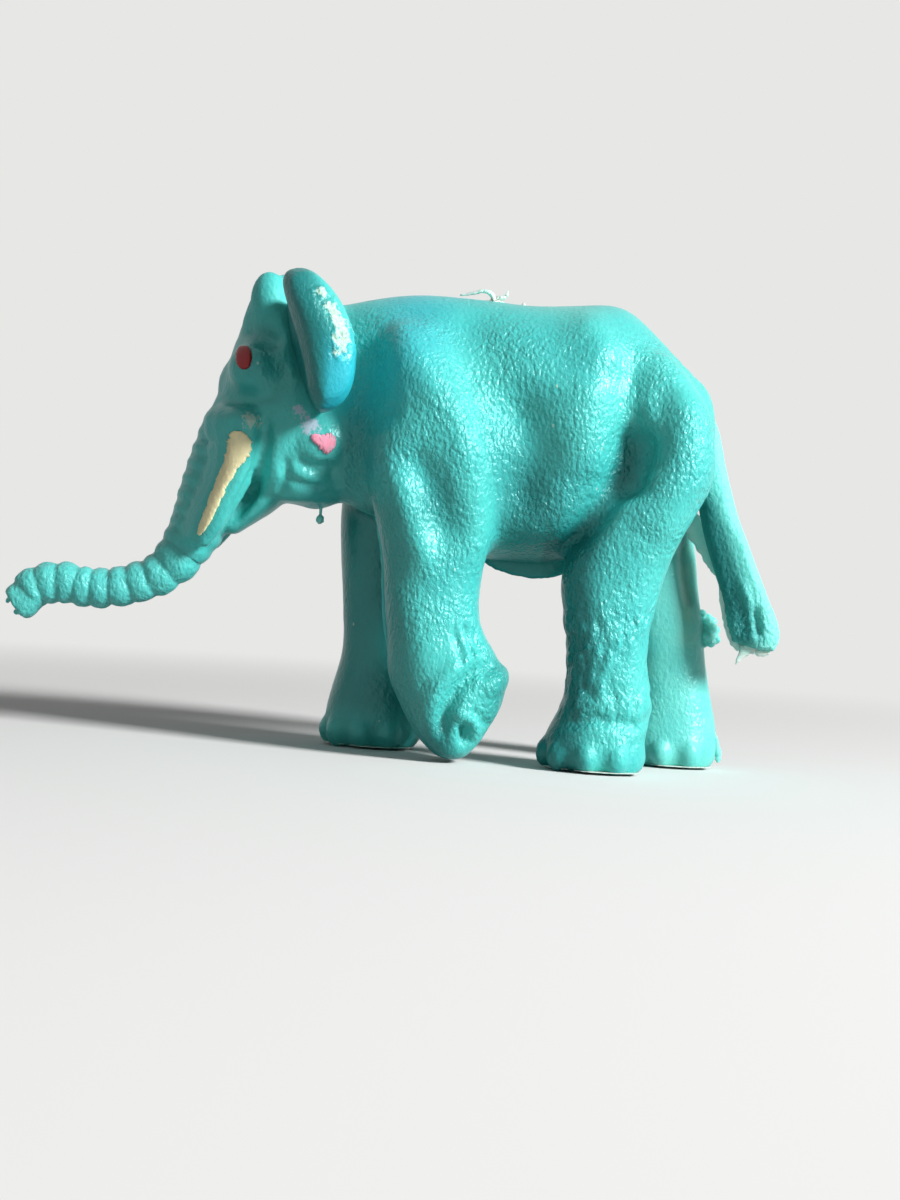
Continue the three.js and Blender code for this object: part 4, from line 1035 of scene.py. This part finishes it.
def new_material(name):
    """A material with its main shader and its tree."""
    material = bpy.data.materials.new(name)
    material.use_nodes = True
    return material, material.node_tree.nodes["Principled BSDF"], Tree(material.node_tree)


# %% [markdown]
# One group makes the grain of every rubber piece and of the paint on it: fine pebbles, whose strength is an
# input, a slow drift for the colour, a fine speckle that makes worn edges ragged, and a few motes of dust.

# %% Grain group
def make_grain_group():
    group = bpy.data.node_groups.new("moulded_grain", "ShaderNodeTree")
    for label, value in (("Strength", 0.5), ("Pebbles per mm", 3.4)):
        socket = group.interface.new_socket(label, in_out="INPUT", socket_type="NodeSocketFloat")
        socket.default_value = value
    for label in ("Height", "Drift", "Speckle", "Dust"):
        group.interface.new_socket(label, in_out="OUTPUT", socket_type="NodeSocketFloat")
    given, result = group.nodes.new("NodeGroupInput"), group.nodes.new("NodeGroupOutput")
    tree = Tree(group)
    upright = (1 / MM, 1 / MM, 0.7 / MM)  # in millimetres, and stretched upright like the folds of hide
    place = tree.add("TexCoord").outputs["Object"]
    place = tree.add("VectorMath", {0: place, 1: upright}, operation="MULTIPLY").outputs[0]
    pebbles = tree.add("TexVoronoi", {"Vector": place, "Scale": given.outputs["Pebbles per mm"],
                                      "Smoothness": 0.6, "Randomness": 1.0}, feature="SMOOTH_F1")
    fine = tree.add("TexNoise", {"Vector": place, "Scale": 3.2, "Detail": 2.0, "Roughness": 0.5,
                                 "Distortion": 0.5})
    drift = tree.add("TexNoise", {"Vector": place, "Scale": 0.16, "Detail": 2.0, "Roughness": 0.5})
    speckle = tree.add("TexNoise", {"Vector": place, "Scale": 3.4, "Detail": 4.0, "Roughness": 0.7})
    motes = tree.add("TexVoronoi", {"Vector": place, "Scale": 0.75, "Randomness": 1.0})
    sunk = tree.maths("MULTIPLY", pebbles.outputs["Distance"], -0.6)
    height = tree.maths("ADD", sunk, tree.maths("MULTIPLY", fine.outputs["Fac"], 1.2))
    small = tree.maths("LESS_THAN", motes.outputs["Distance"], 0.075)
    few = tree.maths("GREATER_THAN", motes.outputs["Color"], 0.78)
    tree.feed(result, {
        "Height": tree.maths("MULTIPLY", height, given.outputs["Strength"]),
        "Drift": drift.outputs["Fac"],
        "Speckle": speckle.outputs["Fac"],
        "Dust": tree.maths("MULTIPLY", small, few),
    })
    return group


GRAIN = make_grain_group()
print("grain group:", [item.name for item in GRAIN.interface.items_tree])

# %% [markdown]
# ## Rubber
# The rubber is turquoise, satin and slightly see-through, so light bleeds a millimetre into it. Over its main
# colour lie thin layers, each with an attribute of the mesh as its share: mint where the rubber is thin and,
# on the tail's rim, as a painted highlight; painted shade where shade falls on the body, the ears and the tail;
# a stain, a bluer tint, a lilac smudge, and pale worn patches that on the tusk's knob and the tail's rim are a
# painted highlight too. Two more attributes, leather and matte, set the grain and how dull the surface is. The
# fine grain is bump, because it is smaller than the faces of the skin.

# %% Rubber material
RUBBER = (0.075, 0.54, 0.50, 1)
DEEP_RUBBER = (0.03, 0.40, 0.41, 1)
# painted shade: the darker colour laid where shade falls
PAINTED_SHADE_RUBBER = (0.008, 0.195, 0.19, 1)
MINT_RUBBER = (0.27, 0.76, 0.66, 1)
CYAN_RUBBER = (0.012, 0.42, 0.54, 1)
PALE_RUBBER = (0.66, 0.84, 0.72, 1)
THIN_RUBBER = (0.42, 0.74, 0.66, 1)
# pale wear and dust; on the tusk's knob and the tail's rim it is also a painted highlight
PALE_WEAR_AND_HIGHLIGHT = (0.50, 0.68, 0.58, 1)
LILAC = (0.54, 0.57, 0.70, 1)
STAIN = (0.40, 0.58, 0.40, 1)
SHEEN = (0.62, 0.98, 0.96, 1)  # reflections take on a little of the rubber's colour


def make_rubber(name, main, deep, see_through=0.45):
    material, surface, tree = new_material(name)
    strength = tree.maths("ADD", tree.maths("MULTIPLY", tree.attribute("leather"), 1.1), 0.08)
    grain = tree.add("Group", node_tree=GRAIN)
    tree.feed(grain, {"Strength": strength})
    speckle = grain.outputs["Speckle"]
    colour = tree.mix(tree.step(grain.outputs["Drift"], 0.35, 0.65), deep, main)
    colour = tree.mix(0.6, colour, main)
    smudge = tree.step(tree.maths("ADD", tree.attribute("smudge"), speckle), 0.97, 1.1)
    wear_and_highlight = tree.step(tree.maths("ADD", tree.attribute("wear_and_highlight"), speckle), 1.0, 1.16)
    layers = (
        # mint where the rubber is thin; on the tail's rim it is also a painted highlight
        (tree.attribute("mint"), MINT_RUBBER),
        # painted shade, with the hollow attribute as its share
        (tree.attribute("hollow"), PAINTED_SHADE_RUBBER),
        (tree.attribute("stain"), STAIN),
        (tree.maths("MULTIPLY", grain.outputs["Dust"], 0.6), PALE_WEAR_AND_HIGHLIGHT),
        (tree.attribute("tint"), CYAN_RUBBER),
        (tree.maths("MULTIPLY", smudge, 0.75), LILAC),
        # pale worn patches, which on the tusk's knob and the tail's rim are a painted highlight
        (wear_and_highlight, PALE_WEAR_AND_HIGHLIGHT),
    )
    for share, layer in layers:
        colour = tree.mix(share, colour, layer)
    rough = tree.maths("MULTIPLY", speckle, 0.14)
    rough = tree.maths("ADD", rough, tree.maths("MULTIPLY", wear_and_highlight, 0.35))
    rough = tree.maths("ADD", rough, tree.maths("MULTIPLY", tree.attribute("matte"), 0.3))
    tree.feed(surface, {
        "Base Color": colour,
        "Roughness": tree.maths("ADD", rough, 0.25),
        "Normal": tree.relief(grain.outputs["Height"], 1.0, 0.16),
        "IOR": 1.46, "Specular IOR Level": 0.7, "Specular Tint": SHEEN, "Subsurface Weight": see_through,
        "Subsurface Scale": 1.2 * MM, "Subsurface Radius": (0.35, 1.0, 0.9),
    })
    return material


rubber = make_rubber("turquoise_rubber", RUBBER, DEEP_RUBBER)
thin_rubber = make_rubber("thin_pale_rubber", PALE_RUBBER, THIN_RUBBER, see_through=0.6)
print("rubber nodes:", len(rubber.node_tree.nodes))

# %% [markdown]
# ## Marks on the skin
# Every mark is a soft field over the surface. Painted shade, a darker colour where shade falls, lies in the
# pocket before the thigh, behind the shoulder, on the head and neck round the ear, low on the belly, along the
# front edges of the legs and on the inner sides that the light doesn't reach. Marks that come from use or from
# the brush lie on the tusk's knob, the cheek and the tip of the trunk; on the knob the pale wear is a painted
# highlight too.

# %% Painted shade
PAINTED_SHADE_PLACES = [  # x, z, half sizes and strength of the painted shade, a darker colour where shade falls
    (18.2, 24.9, 1.05, 2.4, 0.95), (10.6, 22.8, 2.4, 4.0, 0.7), (2.7, 20.2, 1.6, 2.4, 0.5),
    (-3.9, 25.5, 1.7, 5.5, 0.6), (-11.9, 33.6, 1.2, 0.7, 0.4), (-10.2, 31.0, 4.0, 3.4, 0.35),
    (4.3, 1.6, 1.6, 2.0, 0.5),
]
POCKET_LINE = [(17.4, 23.8), (16.6, 21.8), (15.5, 19.9), (14.0, 18.0)]
SLIT_LINE = [(24.0, 19.6), (24.1, 18.0), (24.4, 16.4), (24.9, 14.0)]
STAIN_LINE = [(24.2, 18.4), (24.6, 15.0), (25.1, 11.4)]
FAR_SIDE = 0.8  # past this y lie the far legs, and within it the middle of the body


def front_shade(points, name, top):
    """1 along the front edge of a leg, falling to 0 behind it, and 0 above `top`."""
    rows = np.array(LEG_ROWS[name])[::-1]
    behind = points[:, 0] - np.interp(points[:, 2], rows[:, 0], rows[:, 1])
    own_side = points[:, 1] * rows[0, 3] > 1.0
    return smooth_between(3.4, 0.8, behind) * smooth_between(top + 2, top - 1, points[:, 2]) * own_side


# Painted shade: the share of the darker colour where shade falls, from 0 to 1.
def painted_shade_tones(points, normals):
    x, y, z = points.T
    inward = smooth_between(0.3, -0.3, normals[:, 1])
    deep = sum(strength * spot(points, at_x, at_z, wide, tall)
               for at_x, at_z, wide, tall, strength in PAINTED_SHADE_PLACES)
    deep += 0.5 * along(points, POCKET_LINE, 0.7)
    deep += 0.5 * front_shade(points, "hindleg_left", 18) * between(12, 24, x)
    deep += 0.45 * front_shade(points, "foreleg_left", 20) * between(-3, 8, x)
    # painted shade on the inner side of the far foreleg, which the near leg shades, fading out at the toes
    far_foreleg = (y > FAR_SIDE) * between(-7, 4, x) * smooth_between(1.5, 4.5, z) * (z < 21)
    deep += 0.7 * far_foreleg * smooth_between(0.2, -0.3, normals[:, 1])
    deep += 0.7 * along(points, SLIT_LINE, 0.4) * (y > FAR_SIDE) * inward
    # painted shade low on the belly
    low_belly = smooth_between(24.0, 17.5, z) * smooth_between(7.0, 9.5, x) * smooth_between(17.5, 14.5, x)
    return np.clip(deep + 0.6 * low_belly, 0, 1) * (np.abs(y) > FAR_SIDE)


# %% Marks on the skin and the trunk
def store_skin_marks(piece):
    points, normals = surface_of(piece)
    x, y, z = points.T
    outer = np.abs(y)
    # the hollow attribute carries the painted shade
    store(piece, "hollow", painted_shade_tones(points, normals))
    store(piece, "tint", 0.45 * np.exp(-(x / 3.5) ** 2) * smooth_between(27.0, 34.0, z))
    # The pale wear on the tusk's knob is partly a painted highlight; on the cheek and the trunk's tip it is wear.
    knob = spot(points, -12.3, 26.3, 1.378) * (outer > 4)
    cheek = spot(points, -7.4, 26.3, 0.894) * (outer > 3)
    tip = smooth_between(-30.9, -31.8, x)
    store(piece, "wear_and_highlight", np.clip(0.68 * knob + 0.45 * cheek + 0.4 * tip, 0, 1))
    smear = spot(points, -7.5, 26.2, 1.414) + 0.8 * spot(points, -8.7, 27.6, 0.707)
    store(piece, "smudge", 0.68 * smear * (outer > 3))
    inner = smooth_between(17.5, 19.5, x) * (y > 0) * smooth_between(0.3, -0.5, normals[:, 1])
    inner *= smooth_between(21.0, 15.0, z) * (1 + 0.5 * noise_field(points, 2.0, 53))
    store(piece, "mint", np.clip(0.32 * inner + 0.14 * smooth_between(-15, -20, x), 0, 1))
    crown = smooth_between(33.0, 35.5, z) * smooth_between(-6.0, -7.5, x)
    feet = smooth_between(3.5, 2.0, z)
    store(piece, "matte", 0.3 * smooth_between(-12, -16, x) + 0.9 * crown + 0.35 * feet)
    streak = 0.3 * along(points, STAIN_LINE, 0.9) * (1 + 0.8 * noise_field(points, 1.6, 52))
    store(piece, "stain", np.clip(streak, 0, 1) * (y > 0) * smooth_between(0.1, -0.5, normals[:, 1]))


def marks_of(piece):
    return [name for name in piece.data.attributes.keys() if not name.startswith(".")]


for piece in (trunk_upper, trunk_tip):
    store(piece, "leather", 0.55)
for piece in (skin, trunk_upper, trunk_tip):
    store_skin_marks(piece)
print("marks on the skin:", marks_of(skin))

# %% Marks on the tail
TAIL_SHADE_BAND = [(25.2, 22.0), (26.5, 18.24), (27.6, 15.21), (28.7, 12.8), (29.1, 11.7)]  # painted shade down its dark side


def store_tail_marks():
    points, _ = surface_of(tail)
    x, _, z = points.T
    # rim is the edge turned to the light: the mint and pale wear there are partly a painted highlight
    rim = smooth_between(0.2, 1.6, (x - 29.3) * 0.94 + (z - 14) * 0.34)
    end = smooth_between(11.6, 10.6, z)
    store(tail, "wear_and_highlight", 0.36 * np.maximum(rim * smooth_between(17.5, 14.0, z), end))
    store(tail, "mint", np.clip(0.3 + 0.35 * rim + 0.35 * end, 0, 0.75))
    store(tail, "matte", 0.8)
    # painted shade along the tail's dark side
    store(tail, "hollow", 0.95 * along(points, TAIL_SHADE_BAND, 1.15))


store_tail_marks()
print("marks on the tail:", marks_of(tail))

# %% Rubber on the pieces
THICK_FLASH = {  # flash of the main rubber: its share of painted shade and of mint
    "belly_fin": (0.9, 0.0), "foreleg_seam": (0.0, 0.0), "jaw_drip": (0.0, 0.9), "leg_crumbs": (0.0, 0.5),
    "heel_sliver": (0.0, 0.8),
}

for piece in (skin, trunk_upper, trunk_tip, tail, *ears.values()):
    piece.data.materials.clear()
    piece.data.materials.append(rubber)
for name, piece in flash.items():
    piece.data.materials.append(rubber if name in THICK_FLASH else thin_rubber)
    for mark, share in zip(("hollow", "mint"), THICK_FLASH.get(name, ())):
        store(piece, mark, share)
print("flash of the main rubber:", sorted(THICK_FLASH))

# %% [markdown]
# ## Paints
# Cream, dark red and pink are thin brush paints. Each has a slight streak from the brush as bump, and its
# colour varies where it is thin and the rubber shows through.

# %% Paint materials
def make_paint(name, colour, thin_colour, roughness, streak):
    material, surface, tree = new_material(name)
    grain = tree.add("Group", node_tree=GRAIN)
    tree.feed(grain, {"Strength": streak, "Pebbles per mm": 4.0})
    speckle = grain.outputs["Speckle"]
    tree.feed(surface, {
        "Base Color": tree.mix(tree.step(speckle, 0.5, 0.68), colour, thin_colour),
        "Roughness": tree.maths("ADD", tree.maths("MULTIPLY", speckle, 0.15), roughness - 0.07),
        "Normal": tree.relief(grain.outputs["Height"], 0.8, 0.06),
    })
    return material


PAINTS = {
    "eye": make_paint("red_paint", (0.32, 0.003, 0.007, 1), (0.24, 0.002, 0.005, 1), 0.38, 0.2),
    "tusk": make_paint("cream_paint", (0.92, 0.83, 0.48, 1), (0.78, 0.78, 0.5, 1), 0.5, 0.7),
    "cheek": make_paint("pink_paint", (0.84, 0.3, 0.42, 1), (0.62, 0.4, 0.46, 1), 0.6, 0.9),
}
for (place, hand), piece in paint.items():
    piece.data.materials.clear()
    piece.data.materials.append(PAINTS[place])
print("paints:", sorted(PAINTS))

# %% [markdown]
# ## What moves with what
# The free trunk bends over its first joint, and its tip over the second. Each ear and the tail bend where
# they leave the body. The shreds at the tail's end go with the tail, and the rest rides on the figure.

# %% Bodies
def in_metres(point):
    return tuple(value * MM for value in point)


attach(skin, "figure")
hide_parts("torso", "head", "lower_jaw", "trunk_root", "tusk_left", "tusk_right",
            "foreleg_left", "foreleg_right", "hindleg_left", "hindleg_right", "gate_stub")
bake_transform(trunk_upper, "figure", "trunk_middle",
         start=in_metres(trunk_place(13.7)[0]), end=in_metres(trunk_place(17.9)[0]))
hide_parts("trunk_middle")
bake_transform(trunk_tip, "trunk_middle", "trunk_end",
         start=in_metres(trunk_place(20.4)[0]), end=in_metres(trunk_place(24.7)[0]))
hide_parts("trunk_end")
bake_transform(tail, "figure", "tail", start=(0.0254, 0, 0.0256), end=(0.0271, 0, 0.0208))
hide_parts("tail")
for hand, ear in ears.items():
    body = "ear_" + SIDE_NAMES[hand]
    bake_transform(ear, "figure", body, start=in_metres(ear_place(hand, 0.02)), end=in_metres(ear_place(hand, 0.3)))
    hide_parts(body)
for name, piece in flash.items():
    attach(piece, "tail" if name == "tail_spike" else "figure")
for (place, hand), piece in paint.items():
    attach(piece, "figure")
    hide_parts(f"{place}_paint_{SIDE_NAMES[hand]}")

# %% [markdown]
# ## Floor, light and camera
# The toy stands on a wide pale floor. Close to it the floor is a plain matte surface that takes the shadow,
# and further out it fades into the pale tone that the world shows behind, so no horizon is seen. The real toy
# lay on something dark, so the floor throws back less light than it shows, and the world gives little. One
# soft lamp from above and behind the rump gives the bright back and the shaded head. The camera looks along
# +Y at the height of the legs, as far away as the photograph's was, and is rolled by 3.7 degrees.

# %% What the camera and clear reflections see
PALE = (0.80, 0.80, 0.785, 1)
PALE_FLOOR = (0.78, 0.78, 0.77, 1)
DIM_FLOOR = (0.36, 0.36, 0.36, 1)  # what the floor throws back at the toy
FADE_START, FADE_END = 0.05, 0.22  # metres from the middle


def seen_directly(tree):
    """1 for camera, glossy and transmission rays, which look at the backdrop and don't light the object."""
    path = tree.add("LightPath").outputs
    both = tree.maths("MAXIMUM", path["Is Camera Ray"], path["Is Glossy Ray"])
    return tree.maths("MAXIMUM", both, path["Is Transmission Ray"])


# %% Floor
def make_floor():
    bm = bmesh.new()
    bmesh.ops.create_circle(bm, cap_ends=True, radius=2.0 / MM, segments=96)
    piece = new_piece("floor", bm)
    material, surface, tree = new_material("pale_floor")
    seen = seen_directly(tree)
    tree.feed(surface, {"Base Color": tree.mix(seen, DIM_FLOOR, PALE_FLOOR), "Roughness": 0.9})
    away = tree.add("VectorMath", {0: tree.add("TexCoord").outputs["Object"]}, operation="LENGTH")
    far = tree.step(away.outputs["Value"], FADE_START, FADE_END)
    glow = tree.add("Emission", {"Color": PALE})
    mix = tree.add("MixShader", {0: tree.maths("MULTIPLY", far, seen), 1: surface.outputs[0],
                                 2: glow.outputs[0]})
    tree.feed(tree.nodes["Material Output"], {"Surface": mix.outputs[0]})
    piece.data.materials.append(material)
    return piece


floor = make_floor()
print("floor:", len(floor.data.vertices), "points")

# %% Light
def soft_lamp(name, place, target, size, power):
    lamp = bpy.data.lights.new(name, "AREA")
    lamp.size = size
    lamp.energy = power
    holder = bpy.data.objects.new(name, lamp)
    holder.location = place
    holder.rotation_euler = (Vector(target) - Vector(place)).to_track_quat("-Z", "Y").to_euler()
    bpy.context.scene.collection.objects.link(holder)


def make_world():
    world = bpy.data.worlds.new("studio")
    bpy.context.scene.world = world
    world.use_nodes = True
    tree = Tree(world.node_tree)
    lit = tree.nodes["Background"]
    tree.feed(lit, {"Color": (1, 1, 1, 1), "Strength": 0.14})
    shown = tree.add("Background", {"Color": PALE})
    mix = tree.add("MixShader", {0: seen_directly(tree), 1: lit.outputs[0], 2: shown.outputs[0]})
    tree.feed(tree.nodes["World Output"], {"Surface": mix.outputs[0]})


MIDDLE = (0.0, 0.0, 0.02)
soft_lamp("key", (0.47, -0.31, 0.30), MIDDLE, size=0.15, power=6.9)
soft_lamp("fill", (-0.25, -0.3, 0.12), MIDDLE, size=0.3, power=0.025)
make_world()
bpy.context.scene.view_settings.view_transform = "Standard"
print("lamps:", [item.name for item in bpy.data.lights])

# %% Camera
ROLL = math.radians(3.7)
CAMERA_PLACE = (0.0046, -0.150, 0.013)


def make_camera():
    data = bpy.data.cameras.new("camera")
    data.sensor_fit = "VERTICAL"
    data.sensor_height = 36
    data.lens = 54
    data.clip_start = 0.01
    up = Vector((-math.sin(ROLL), 0, math.cos(ROLL)))
    back = -Y_AXIS
    camera = bpy.data.objects.new("camera", data)
    axes = Matrix((up.cross(back), up, back)).transposed().to_4x4()
    camera.matrix_world = Matrix.Translation(CAMERA_PLACE) @ axes
    bpy.context.scene.collection.objects.link(camera)
    bpy.context.scene.camera = camera


make_camera()
print("camera:", CAMERA_PLACE)
